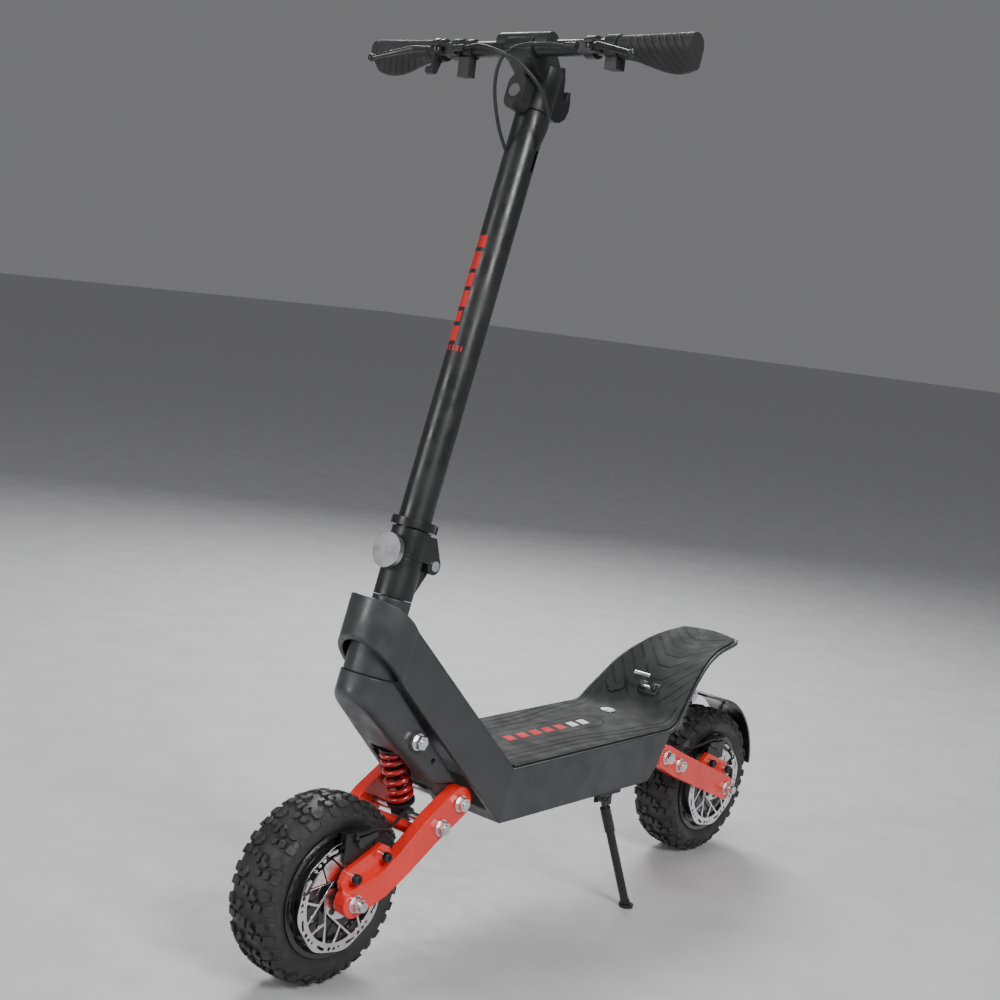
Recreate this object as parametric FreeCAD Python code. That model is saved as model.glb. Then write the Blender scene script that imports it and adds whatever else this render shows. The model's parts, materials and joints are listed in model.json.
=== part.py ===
import FreeCAD, Part
import math
import os

from FreeCAD import Placement, Rotation, Vector

os.makedirs("parts", exist_ok=True)

# Electric kick scooter, millimetres. While it is drawn, X is forward from the rear axle, Y is to the
# rider's left and Z is up from the ground. Every piece is then shifted so that the origin is under
# the middle of the scooter.

WHEELBASE = 941.0
TYRE_R = 133.0
TYRE_HALF = 44.0
CROWN_HALF = 29.0
RIM_R = 84.0
AXLE_R = 7.0
AXLE_END = 94.0
DISC_R = 80.0
DISC_Y = (48.5, 50.5)
ARM_Y = (56.0, 76.0)
RUN_GAP = 0.06
SIDE_GAP = 0.3
OPEN_PIVOT_GAP = 0.4

DECK_HALF = 103.0
DECK_TOP = 284.0
DECK_LOW = 205.0
MAT_T = 3.0
WALL = 8.0
TAIL_T = 6.0
TAIL_SLOPE_SUM = (498.0, 530.0)
TAIL_ARC_R = (215.0, 205.0)
TAIL_END = ((-18.0, 409.6), (-8.0, 406.0))
TAIL_END_DROOP = (12.0, 0.5)
TAIL_HEEL_R = 45.0

RAKE = 14.5
STEER_X = 913.0
STEER_Z = 300.0
SEAM_S = 131.0
HEAD_TOP_S = 241.5
STEERER_R = 16.0
HEAD_BORE_R = 21.0
HOOD_R = 56.5
CROWN_R = 40.0
NOSE_R = 42.0

FORK_HALF = 54.0
FRONT_PIVOT = (745.0, 239.0)
FRONT_LOWER = (782.0, 210.0)
FRONT_UPPER = (826.0, 337.0)
REAR_PIVOT = (212.0, 224.0)
REAR_LOWER = (169.0, 203.0)
REAR_UPPER = (99.0, 309.0)
BOLT_R = 6.0

PIN_U = -36.0
PIN_S = 300.0
PIN_R = 5.0
CASTING_R = 28.0
KNOB_S = 304.0
TUBE_LOW_S = 317.0
KNOB_R = 25.0
TUBE_R = 24.0
TUBE_WALL = 3.0
TUBE_TOP_S = 990.0

BAR_X = 706.0
BAR_Z = 1312.0
BAR_R = 11.1
BAR_END = 284.0
GRIP_IN = 171.0
GRIP_OUT = 289.0

FENDER_R = (143.0, 147.0)
FENDER_AT = (5.0, 142.0)
FENDER_HALF = 38.0
STAND_PIVOT = (404.0, 88.0, 190.0)
STAND_FOOT = (337.0, 115.0, 0.0)

ORIGIN_X = (WHEELBASE + TYRE_R + FENDER_AT[0] - FENDER_R[1]) / 2

STEM_FRAME = Placement(Vector(STEER_X, 0, STEER_Z), Rotation(Vector(0, 1, 0), -RAKE))


def save(shape, name):
    """Shift a finished piece to the scooter's own origin and write it."""
    placed = shape.copy()
    placed.translate(Vector(-ORIGIN_X, 0, 0))
    placed = placed.removeSplitter()
    if not placed.isValid():
        print("invalid:", name)
    print(f"{name:24s} solids {len(placed.Solids):2d} volume {placed.Volume:12.1f}")
    placed.exportStep(f"parts/{name}.step")


def group(shapes):
    return Part.makeCompound(list(shapes))


def fuse(shapes):
    shapes = list(shapes)
    return shapes[0].multiFuse(shapes[1:]).removeSplitter()


def box(x, y, z):
    corner = Vector(x[0], y[0], z[0])
    return Part.makeBox(x[1] - x[0], y[1] - y[0], z[1] - z[0], corner)


def rod_y(x, z, r, y):
    return Part.makeCylinder(r, y[1] - y[0], Vector(x, y[0], z), Vector(0, 1, 0))


def ring_y(x, z, r_out, r_in, y):
    return rod_y(x, z, r_out, y).cut(rod_y(x, z, r_in, (y[0] - 1, y[1] + 1)))


def rod(a, b, r):
    a = Vector(*a)
    b = Vector(*b)
    return Part.makeCylinder(r, (b - a).Length, a, b - a)


def prism(points, y):
    """Side outline (x, z) pushed out from y[0] to y[1]."""
    corners = [Vector(x, y[0], z) for x, z in points]
    face = Part.Face(Part.makePolygon(corners + corners[:1]))
    return face.extrude(Vector(0, y[1] - y[0], 0))


def plan(points, z):
    """Outline (x, y) pushed up from z[0] to z[1]."""
    corners = [Vector(x, y, z[0]) for x, y in points]
    face = Part.Face(Part.makePolygon(corners + corners[:1]))
    return face.extrude(Vector(0, 0, z[1] - z[0]))


def both_sides(shape):
    return [shape, shape.mirror(Vector(0, 0, 0), Vector(0, 1, 0))]


def on_stem(shape):
    """Place a piece drawn along the steering axis: u forward, y left, s up along the axis."""
    placed = shape.copy()
    placed.Placement = STEM_FRAME.multiply(placed.Placement)
    return placed


def stem_point(u, y, s):
    return STEM_FRAME.multVec(Vector(u, y, s))


def bar_plate(circles, y):
    """Flat bar whose side outline wraps round a chain of circles (x, z, r)."""
    pieces = [rod_y(x, z, r, y) for x, z, r in circles]
    for (xa, za, ra), (xb, zb, rb) in zip(circles, circles[1:]):
        length = math.hypot(xb - xa, zb - za)
        heading = math.atan2(zb - za, xb - xa)
        lean = math.acos((ra - rb) / length)
        corners = []
        for side in (1, -1):
            angle = heading + side * lean
            ends = [(xa, za, ra), (xb, zb, rb)]
            if side < 0:
                ends.reverse()
            corners += [(x + r * math.cos(angle), z + r * math.sin(angle)) for x, z, r in ends]
        pieces.append(prism(corners, y))
    return fuse(pieces)


def cable(points, r):
    """Round cable along straight runs joined by tangent arcs as large as the runs allow."""
    points = [Vector(*p) for p in points]
    edges = []
    here = points[0]
    for a, b, c in zip(points, points[1:], points[2:]):
        back = (a - b).normalize()
        ahead = (c - b).normalize()
        inset = 0.45 * min((a - b).Length, (c - b).Length)
        half = back.getAngle(ahead) / 2
        start = b + back * inset
        end = b + ahead * inset
        bend_r = inset * math.tan(half)
        bisector = (back + ahead).normalize()
        middle = b + bisector * (bend_r / math.sin(half) - bend_r)
        edges.append(Part.LineSegment(here, start).toShape())
        edges.append(Part.Arc(start, middle, end).toShape())
        here = end
    edges.append(Part.LineSegment(here, points[-1]).toShape())
    path = Part.Wire(edges)
    heading = points[1] - points[0]
    section = Part.Wire(Part.Circle(points[0], heading, r).toShape())
    tube = path.makePipeShell([section], True, False)
    ideal = math.pi * r * r * path.Length
    print(f"cable length {path.Length:7.1f} volume ratio {tube.Volume / ideal:.3f}")
    return tube


def washer_nut(x, z, y, side):
    """Washer, hexagon nut and bolt end standing on the plane y, outwards on the given side."""
    washer = rod_y(x, z, 12.5, sorted((y, y + side * 2.0)))
    corners = []
    for i in range(6):
        angle = math.radians(60 * i + 12)
        corners.append((x + 10.5 * math.cos(angle), z + 10.5 * math.sin(angle)))
    nut = prism(corners, sorted((y + side * 2.0, y + side * 11.0)))
    return [washer, nut]


def through_bolt(x, z, half, gap=0.0):
    """One bolt across the scooter with a washer and nut at each end, the gap clear of what it holds."""
    solids = [rod_y(x, z, BOLT_R, (-half - 13, half + 13))]
    for side in (1, -1):
        solids += washer_nut(x, z, side * (half + gap), side)
    return fuse(solids)


# ---------------------------------------------------------------- main frame

def tail_profile(drop, edge, front_x):
    """Points of the deck and kick tail's side line, drop millimetres under the mat's top.

    edge is 0 on the centre line and 1 at the sides, where the tail stands higher.
    """
    def between(pair):
        return pair[0] + (pair[1] - pair[0]) * edge

    k = math.sqrt(0.5)
    deck_z = DECK_TOP + MAT_T - drop
    slope_sum = between(TAIL_SLOPE_SUM) - drop / k
    radius = between(TAIL_ARC_R) - drop
    droop = math.radians(between(TAIL_END_DROOP))
    end_x = between((TAIL_END[0][0], TAIL_END[1][0]))
    end_z = between((TAIL_END[0][1], TAIL_END[1][1]))
    sin_d, cos_d = math.sin(droop), math.cos(droop)
    line_a = slope_sum - radius / k
    line_b = end_x * sin_d + end_z * cos_d - drop - radius
    cx = (line_b - line_a * cos_d) / (sin_d - cos_d)
    cz = line_a - cx
    mid = (math.radians(45) + math.radians(90) - droop) / 2
    heel = (TAIL_HEEL_R + drop) * math.tan(math.radians(22.5))
    corner_x = slope_sum - deck_z
    last_x = end_x - drop * sin_d
    last_z = (line_b + radius - last_x * sin_d) / cos_d
    return [
        (front_x, deck_z),
        (corner_x + heel, deck_z),
        (corner_x, deck_z),
        (corner_x - heel * k, deck_z + heel * k),
        (cx + radius * k, cz + radius * k),
        (cx + radius * math.cos(mid), cz + radius * math.sin(mid)),
        (cx + radius * sin_d, cz + radius * cos_d),
        (last_x, last_z),
    ]


def heel_middle(drop, edge):
    """Middle of the hollow curve where the flat deck turns up into the tail."""
    k = math.sqrt(0.5)
    slope_sum = TAIL_SLOPE_SUM[0] + (TAIL_SLOPE_SUM[1] - TAIL_SLOPE_SUM[0]) * edge - drop / k
    deck_z = DECK_TOP + MAT_T - drop
    radius = TAIL_HEEL_R + drop
    centre_x = slope_sum - deck_z + radius * math.tan(math.radians(22.5))
    centre_z = deck_z + radius
    angle = math.radians(270 - 22.5)
    return centre_x + radius * math.cos(angle), centre_z + radius * math.sin(angle)


def tail_section(top_drop, low_drop, front_x, y):
    """Closed section of the tail's sheet in the plane at y."""
    edge = (y / DECK_HALF) ** 2

    def side(drop):
        points = tail_profile(drop, edge, front_x)
        points[2] = heel_middle(drop, edge)
        return [Vector(x, y, z) for x, z in points]

    top = side(top_drop)
    low = side(low_drop)
    edges = [
        Part.LineSegment(top[0], top[1]),
        Part.Arc(top[1], top[2], top[3]),
        Part.LineSegment(top[3], top[4]),
        Part.Arc(top[4], top[5], top[6]),
        Part.LineSegment(top[6], top[7]),
        Part.LineSegment(top[7], low[7]),
        Part.LineSegment(low[7], low[6]),
        Part.Arc(low[6], low[5], low[4]),
        Part.LineSegment(low[4], low[3]),
        Part.Arc(low[3], low[2], low[1]),
        Part.LineSegment(low[1], low[0]),
        Part.LineSegment(low[0], top[0]),
    ]
    return Part.Wire([e.toShape() for e in edges])


def tail_slab(top_drop, low_drop, front_x):
    """Dished sheet that follows the deck and the kick tail between two depths."""
    wires = []
    for i in range(-4, 5):
        wires.append(tail_section(top_drop, low_drop, front_x, DECK_HALF * i / 4))
    return Part.makeLoft(wires, True, False)


def tail_plan(inset, front_x):
    """Plan outline of the deck and tail: full width, then waisted to a rounded rear edge."""
    half = DECK_HALF - inset
    side = [(242, half), (205, 97 - inset), (170, 89 - inset), (120, 78 - inset), (70, 69.5 - inset),
            (30, 65 - inset), (8 + inset, 62 - inset)]
    z = 150
    left = Part.BSplineCurve()
    left.interpolate([Vector(x, y, z) for x, y in side], InitialTangent=Vector(-1, 0, 0),
                     FinalTangent=Vector(-1, -0.2, 0))
    right = Part.BSplineCurve()
    right.interpolate([Vector(x, -y, z) for x, y in reversed(side)], InitialTangent=Vector(1, -0.2, 0),
                      FinalTangent=Vector(1, 0, 0))
    corner = [Vector(side[-1][0], side[-1][1], z), Vector(-1 + inset, 59 - inset, z),
              Vector(-6 + inset, 50 - inset, z)]
    mirror = [Vector(p.x, -p.y, z) for p in reversed(corner)]
    front = [Vector(front_x, -half, z), Vector(front_x, half, z)]
    edges = [
        left,
        Part.Arc(*corner),
        Part.Arc(corner[-1], Vector(-15 + inset, 0, z), mirror[0]),
        Part.Arc(*mirror),
        right,
        Part.LineSegment(Vector(side[0][0], -half, z), front[0]),
        Part.LineSegment(*front),
        Part.LineSegment(front[1], Vector(side[0][0], half, z)),
    ]
    face = Part.Face(Part.Wire([e.toShape() for e in edges]))
    return face.extrude(Vector(0, 0, 300))


NECK_SLOPE = 1.174
NECK_FOOT = (683.0, 205.0)


def neck_low(x, inset=0.0):
    """Point on the neck's lower edge line, or inset millimetres inside it."""
    k = 1 / math.hypot(1, NECK_SLOPE)
    z = NECK_FOOT[1] + NECK_SLOPE * (x - NECK_FOOT[0])
    return (x - inset * NECK_SLOPE * k, z + inset * k)


def neck_plan(inset):
    """Outline seen along the steering axis: wide deck, tapering neck, round hood."""
    tangent_u = -11.8
    tangent_y = 55.2 - inset
    corners = [
        (-900, DECK_HALF - inset),
        (-245, DECK_HALF - inset),
        (tangent_u, tangent_y),
        (tangent_u, -tangent_y),
        (-245, -DECK_HALF + inset),
        (-900, -DECK_HALF + inset),
    ]
    flare = plan(corners, (-500, 300))
    hood = Part.makeCylinder(HOOD_R - inset, 420, Vector(0, 0, -120), Vector(0, 0, 1))
    return on_stem(flare.fuse(hood))


def neck_hollow():
    """Space for the wiring inside the neck, open to the battery box."""
    outline = [neck_low(640, 8), (640, DECK_TOP - 8), (672, DECK_TOP - 8), (858, 500), neck_low(905, 34),
               neck_low(700, 34), neck_low(690, 8)]
    return prism(outline, (-DECK_HALF, DECK_HALF)).common(neck_plan(8))


def soften(body, radius, wanted):
    """Round the edges that the test picks, as one operation or not at all."""
    edges = [e for e in body.Edges if wanted(e)]
    try:
        rounded = body.makeFillet(radius, edges)
    except Exception:
        print("edges left sharp:", len(edges))
        return body
    return rounded if rounded.isValid() else body


def main_frame():
    outline = [
        (NECK_FOOT[0], NECK_FOOT[1]),
        (305, DECK_LOW),
        (284, 226),
        (250, DECK_TOP),
        (662, DECK_TOP),
        (862, 511),
        (885, 532),
        (905, 541),
        (938, 541),
        neck_low(938),
    ]
    body = prism(outline, (-DECK_HALF, DECK_HALF)).common(neck_plan(0))

    def upper_edge(e):
        box_z = e.BoundBox.ZMin
        on_top = box_z > DECK_TOP - 1 and e.BoundBox.XMin > 640
        return on_top and e.Length > 12 and abs(e.CenterOfMass.y) > 5

    body = soften(body, 7.0, upper_edge)
    pocket = prism([neck_low(700), neck_low(960), neck_low(940, 24), neck_low(718, 24)], (-90, 90))
    body = body.cut(pocket.common(neck_plan(8)))
    swing = Part.makeCylinder(47, SEAM_S - 40, Vector(0, 0, 40), Vector(0, 0, 1))
    body = body.cut(on_stem(swing))
    boss = Part.makeCylinder(CROWN_R - 0.5, 62, Vector(0, 0, SEAM_S), Vector(0, 0, 1))
    tower = Part.makeCylinder(CASTING_R, HEAD_TOP_S - 185, Vector(0, 0, 185), Vector(0, 0, 1))
    tail = tail_slab(MAT_T, MAT_T + TAIL_T, 300).common(tail_plan(0, 300))
    solids = [body, on_stem(boss), on_stem(tower), tail]
    pivot_ear = prism([(300, 215), (204, 206), (194, 214), (194, 234), (218, 246), (300, 262)], (40, 54))
    shock_ear = prism([(86, 308), (91, 297), (108, 297), (184, 308), (150, 340), (112, 366)], (26, 35))
    for ear in (pivot_ear, shock_ear):
        solids += both_sides(ear)
    body = fuse(solids + [latch_bracket()])
    bore = Part.makeCylinder(HEAD_BORE_R, 140, Vector(0, 0, 120), Vector(0, 0, 1))
    body = body.cut(on_stem(bore))
    body = body.cut(box((310, 650), (-95, 95), (190, 276)))
    body = body.cut(neck_hollow())
    body = body.cut(slope_rod(PORT_AT, 19, -MAT_T, 8))
    for x, z in (REAR_PIVOT, REAR_UPPER):
        body = body.cut(rod_y(x, z, BOLT_R, (-60, 60)))
    return body


def deck_mat():
    slab = tail_slab(0, MAT_T, 655).common(tail_plan(5, 655))
    lock_hole = Part.makeCylinder(13.2, 40, Vector(KEY_AT[0], KEY_AT[1], 260), Vector(0, 0, 1))
    port_hole = slope_rod(PORT_AT, 19.2, -20, 20)
    latch_hole = slope_box(LATCH_AT, (-12, 12), (-19, 19), (-20, 20))
    return slab.cut(lock_hole).cut(port_hole).cut(latch_hole)


KEY_AT = (262.0, -22.0)
PORT_AT = (190.0, -61.0)
LATCH_AT = (176.0, 0.0)


def slope_point(x, y, lift):
    """Point over the sloping part of the tail, lift millimetres above the mat's top."""
    k = math.sqrt(0.5)
    edge = (y / DECK_HALF) ** 2
    slope_sum = TAIL_SLOPE_SUM[0] + (TAIL_SLOPE_SUM[1] - TAIL_SLOPE_SUM[0]) * edge
    return Vector(x + lift * k, y, slope_sum - x + lift * k)


def slope_frame(at):
    """Placement on the tail's surface: X down the slope, Y across it, Z out of it."""
    rise = 2 * (TAIL_SLOPE_SUM[1] - TAIL_SLOPE_SUM[0]) * at[1] / DECK_HALF ** 2
    roll = math.degrees(math.atan(rise * math.sqrt(0.5)))
    turn = Rotation(Vector(0, 1, 0), 45).multiply(Rotation(Vector(1, 0, 0), roll))
    return Placement(slope_point(at[0], at[1], 0), turn)


def slope_rod(at, r, low, high):
    solid = Part.makeCylinder(r, high - low, Vector(0, 0, low), Vector(0, 0, 1))
    solid.Placement = slope_frame(at).multiply(solid.Placement)
    return solid


def slope_box(at, along, y, lift):
    """Box on the tail's slope: along it, across it and above its surface."""
    solid = Part.makeBox(along[1] - along[0], y[1] - y[0], lift[1] - lift[0])
    solid.translate(Vector(along[0], y[0], lift[0]))
    solid.Placement = slope_frame(at).multiply(solid.Placement)
    return solid


def deck_fittings():
    """Key lock, charging port with its hinged cap, and the folding latch's bail."""
    barrel = Part.makeCylinder(13, 14, Vector(KEY_AT[0], KEY_AT[1], DECK_TOP), Vector(0, 0, 1))
    barrel = barrel.common(box((200, 300), (-60, 20), (DECK_TOP, DECK_TOP + MAT_T + 2)))
    slot = box((KEY_AT[0] - 5, KEY_AT[0] + 5), (KEY_AT[1] - 1, KEY_AT[1] + 1), (288, 292))
    save(barrel.cut(slot), "key_lock")
    socket = slope_rod(PORT_AT, 19, -MAT_T, 1.0).cut(slope_rod(PORT_AT, 10, -1.0, 3))
    save(socket, "charge_port")
    cap = slope_rod(PORT_AT, 18, 1.6, 3.9)
    plug = slope_rod(PORT_AT, 9.5, -0.7, 1.7)
    lip = slope_box(PORT_AT, (15, 21), (-5, 5), (1.6, 3.9))
    hinge = Part.makeCylinder(1.4, 10, Vector(21, -5, 3.0), Vector(0, 1, 0))
    hinge.Placement = slope_frame(PORT_AT).multiply(hinge.Placement)
    save(fuse([cap, plug, lip, hinge]), "charge_cap")


BAIL_PIVOT = (183.0, 325.0)
BAIL_TOP = (203.0, 350.0)


def latch_bracket():
    """Base plate and two lugs on the tail's slope that hold the bail's pin."""
    base = slope_box(LATCH_AT, (-11, 11), (-18, 18), (-MAT_T - 1, 1.5))
    lugs = [slope_box(LATCH_AT, (-5, 7), y, (1.0, 11.0)) for y in ((-16.5, -13.5), (13.5, 16.5))]
    pin_hole = rod_y(BAIL_PIVOT[0], BAIL_PIVOT[1], 2.5, (-30, 30))
    return fuse([base] + lugs).cut(pin_hole)


def latch_bail():
    pin = rod_y(BAIL_PIVOT[0], BAIL_PIVOT[1], 2.5 - RUN_GAP, (-16.5, 16.5))
    legs = []
    for y in ((-12.8, -9.8), (9.8, 12.8)):
        legs.append(bar_plate([BAIL_PIVOT + (4.5,), BAIL_TOP + (4.0,)], y))
    roller = rod_y(BAIL_TOP[0], BAIL_TOP[1], 4.0, (-16, 16))
    save(fuse([pin, roller] + legs), "latch_bail")


def inside_deck():
    """Bottom cover, battery and motor controller."""
    cover = box((306, 654), (-98, 98), (DECK_LOW - 3, DECK_LOW))
    x = STAND_PIVOT[0]
    notch = box((x - 30.5, x + 26.5), (STAND_PIVOT[1] - 20.5, 110), (DECK_LOW - 10, DECK_LOW + 10))
    save(cover.cut(notch), "bottom_cover")
    save(box((360, 645), (-88, 88), (DECK_LOW, DECK_LOW + 66)), "battery_pack")
    save(box((314, 354), (-80, 80), (DECK_LOW, DECK_LOW + 34)), "motor_controller")


def headset():
    rings = []
    for s in (SEAM_S, HEAD_TOP_S - 12):
        ring = Part.makeCylinder(HEAD_BORE_R, 12, Vector(0, 0, s), Vector(0, 0, 1))
        bore = Part.makeCylinder(STEERER_R + RUN_GAP, 20, Vector(0, 0, s - 4), Vector(0, 0, 1))
        rings.append(on_stem(ring.cut(bore)))
    save(group(rings), "headset_bearings")


def rear_mount_bolts():
    pivot = through_bolt(REAR_PIVOT[0], REAR_PIVOT[1], ARM_Y[1], SIDE_GAP)
    shock = through_bolt(REAR_UPPER[0], REAR_UPPER[1], 35)
    save(group([pivot, shock]), "rear_mount_bolts")


# ---------------------------------------------------------------- fork and folding joint

def fork_plan(low_s, high_s):
    """Round nose about the steering axis with side walls that spread towards the rear."""
    lean = 0.11
    tangent_y = NOSE_R / math.sqrt(1 + lean * lean)
    tangent_u = NOSE_R * lean / math.sqrt(1 + lean * lean)
    rear_y = tangent_y + lean * (260 + tangent_u)
    flare = [(-260, rear_y), (tangent_u, tangent_y), (tangent_u, -tangent_y), (-260, -rear_y)]
    nose = Part.makeCylinder(NOSE_R, high_s - low_s, Vector(0, 0, low_s), Vector(0, 0, 1))
    return on_stem(plan(flare, (low_s, high_s)).fuse(nose))


def fork():
    top = SEAM_S - 1.0
    front = [stem_point(NOSE_R + 1, 0, s) for s in (top, 96)]
    outline = [(p.x, p.z) for p in front]
    outline += [(781, 258), (762, 246), neck_low(735, -5), neck_low(892, -5)]
    body = prism(outline, (-80, 80)).common(fork_plan(-120, top))

    def long_edge(e):
        rise = abs(e.BoundBox.ZLength)
        low_side = e.CenterOfMass.z < 262 + 0.98 * (e.CenterOfMass.x - 783) + 12
        return rise > 60 and low_side and abs(e.CenterOfMass.y) > 20

    body = soften(body, 16.0, long_edge)
    for side in both_sides(prism([(690, 261), (806, 271), (806, 200), (690, 200)], (FORK_HALF, 90))):
        body = body.cut(side)
    boss = rod_y(FRONT_UPPER[0], FRONT_UPPER[1], 14.0, (40, FORK_HALF))
    body = fuse([body] + both_sides(boss))
    hollow = prism([(733, 252), (716, 226), (780, 226), (796, 267), (884, 367), (884, 385), (848, 385)],
                   (-31, 31))
    mouth = prism([(733, 252), (716, 226), (790, 226), (792, 262), (770, 284)], (-46, 46))
    slot_end = Part.makeCylinder(24, 60, Vector(830, 0, 305), Vector(0.7, 0, -0.714))
    slot = prism([(776, 226), (850, 226), (872, 288), (832, 322), (812, 322), (788, 262)], (-24, 24))
    body = body.cut(hollow).cut(mouth).cut(slot.fuse(slot_end))
    lug = bar_plate([FRONT_PIVOT + (16.0,), (768, 264, 14.0)], (40, FORK_HALF - 1))
    steerer = Part.makeCylinder(STEERER_R, 288 - top + 2, Vector(0, 0, top - 2), Vector(0, 0, 1))
    body = fuse([body, on_stem(steerer)] + both_sides(lug))
    for x, z in (FRONT_UPPER, FRONT_PIVOT):
        body = body.cut(rod_y(x, z, BOLT_R, (-60, 60)))
    save(body.cut(rod_y(790, 303, 4.0, (-70, 70))), "fork")


def fork_bolts():
    upper = through_bolt(FRONT_UPPER[0], FRONT_UPPER[1], FORK_HALF)
    pivot = through_bolt(FRONT_PIVOT[0], FRONT_PIVOT[1], ARM_Y[1], SIDE_GAP)
    pin = on_stem(rod_y(PIN_U, PIN_S, PIN_R, (-30, 30)))
    head = on_stem(rod_y(PIN_U, PIN_S, 7.5, (27.2, 30)))
    save(group([upper, pivot, pin.fuse(head)]), "fork_bolts")


def lower_fold_casting():
    """Clamped on the steerer, with a middle knuckle behind it for the folding pin."""
    low = HEAD_TOP_S + 1.0
    tube = Part.makeCylinder(CASTING_R, PIN_S - low, Vector(0, 0, low), Vector(0, 0, 1))
    gusset = prism([(-20, low + 10), (-27, low + 10), (PIN_U - 10, PIN_S - 7), (PIN_U - 8, PIN_S - 0.5),
                    (-20, PIN_S - 0.5)], (-12.5, 12.5))
    knuckle = rod_y(PIN_U, PIN_S, 12.0, (-12.5, 12.5))
    boss = Part.makeCylinder(11, 20, Vector(8, 0, KNOB_S), Vector(1, 0, 0))
    body = fuse([tube, gusset, knuckle, boss])
    body = body.cut(Part.makeCylinder(STEERER_R, 100, Vector(0, 0, low - 5), Vector(0, 0, 1)))
    body = body.cut(rod_y(PIN_U, PIN_S, PIN_R, (-20, 20)))
    for ear_space in both_sides(rod_y(PIN_U, PIN_S, 14.0, (12.5, 40))):
        body = body.cut(ear_space)
    shank = Part.makeCylinder(5 + RUN_GAP, 60, Vector(10.5, 0, KNOB_S), Vector(1, 0, 0))
    save(on_stem(body.cut(shank)), "lower_fold_casting")


def fold_knob():
    face = Part.makeCylinder(KNOB_R, 9, Vector(31, 0, KNOB_S), Vector(1, 0, 0))
    collar = Part.makeCylinder(11, 2.6, Vector(28.5, 0, KNOB_S), Vector(1, 0, 0))
    shank = Part.makeCylinder(5, 22, Vector(11, 0, KNOB_S), Vector(1, 0, 0))
    centre = Part.makeCylinder(3.5, 1.5, Vector(40, 0, KNOB_S), Vector(1, 0, 0))
    save(on_stem(fuse([face, collar, shank, centre])), "fold_knob")


def upper_fold_casting():
    low = PIN_S + 0.5
    tube = Part.makeCylinder(CASTING_R, 341 - low, Vector(0, 0, low), Vector(0, 0, 1))
    gusset = prism([(-10, 338), (-26, 338), (PIN_U - 12, PIN_S + 5), (PIN_U, PIN_S), (-10, low)],
                   (-27, 27))
    body = fuse([tube, gusset] + both_sides(rod_y(PIN_U, PIN_S, 13.0, (12.9, 27))))
    body = body.cut(rod_y(PIN_U, PIN_S, 12.8, (-12.9, 12.9)))
    room = [(-60, 280), (-60, PIN_S + 9), (PIN_U - 9, PIN_S + 9.5)]
    room += [(PIN_U, PIN_S), (0, PIN_S), (0, 280)]
    body = body.cut(prism(room, (-12.9, 12.9)))
    body = body.cut(rod_y(PIN_U, PIN_S, PIN_R + RUN_GAP, (-40, 40)))
    body = body.cut(Part.makeCylinder(TUBE_R, 60, Vector(0, 0, TUBE_LOW_S), Vector(0, 0, 1)))
    boss_room = Part.makeCylinder(11.6, 60, Vector(4, 0, KNOB_S), Vector(1, 0, 0))
    mouth = Part.makeBox(60, 23.2, 20, Vector(4, -11.6, KNOB_S - 20))
    save(on_stem(body.cut(boss_room).cut(mouth)), "upper_fold_casting")


# ---------------------------------------------------------------- suspension

FRONT_ARM = [(745, 239, 24), (792, 212, 23), (849, 171, 20), (889, 147, 19), (WHEELBASE, TYRE_R, 21)]
REAR_ARM = [(212, 224, 21), (169, 203, 22), (0, TYRE_R, 21)]


def arm(chain, pivot, lower, tab, brace_at):
    """Two side bars, a cross tube between them and the calliper tab on the left bar."""
    inner, outer = ARM_Y
    left = bar_plate(chain, ARM_Y)
    solids = both_sides(left)
    solids.append(prism(tab, (inner, inner + 9)))
    solids.append(rod_y(brace_at[0], brace_at[1], 9.0, (-inner - 2, inner + 2)))
    body = fuse(solids)
    axle_x = chain[-1][0]
    body = body.cut(rod_y(axle_x, TYRE_R, AXLE_R, (-90, 90)))
    body = body.cut(rod_y(pivot[0], pivot[1], BOLT_R + RUN_GAP, (-90, 90)))
    body = body.cut(rod_y(lower[0], lower[1], BOLT_R, (-90, 90)))
    return body


def axle(x):
    solids = [rod_y(x, TYRE_R, AXLE_R, (-AXLE_END, AXLE_END))]
    for side in (1, -1):
        solids += washer_nut(x, TYRE_R, side * ARM_Y[1], side)
    return fuse(solids)


def stator(x):
    return ring_y(x, TYRE_R, 66.0, AXLE_R, (-20, 20))


def tyre(x):
    y = Vector(0, 1, 0)
    outline = [
        Part.LineSegment(Vector(0, -34, RIM_R), Vector(0, 34, RIM_R)),
        Part.LineSegment(Vector(0, 34, RIM_R), Vector(0, 34, 92)),
        Part.Arc(Vector(0, 34, 92), Vector(0, TYRE_HALF, 112), Vector(0, CROWN_HALF, TYRE_R)),
        Part.LineSegment(Vector(0, CROWN_HALF, TYRE_R), Vector(0, -CROWN_HALF, TYRE_R)),
        Part.Arc(Vector(0, -CROWN_HALF, TYRE_R), Vector(0, -TYRE_HALF, 112), Vector(0, -34, 92)),
        Part.LineSegment(Vector(0, -34, 92), Vector(0, -34, RIM_R)),
    ]
    face = Part.Face(Part.Wire([e.toShape() for e in outline]))
    solid = face.revolve(Vector(0, 0, 0), y, 360)
    solid.translate(Vector(x, 0, TYRE_R))
    return solid


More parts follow.
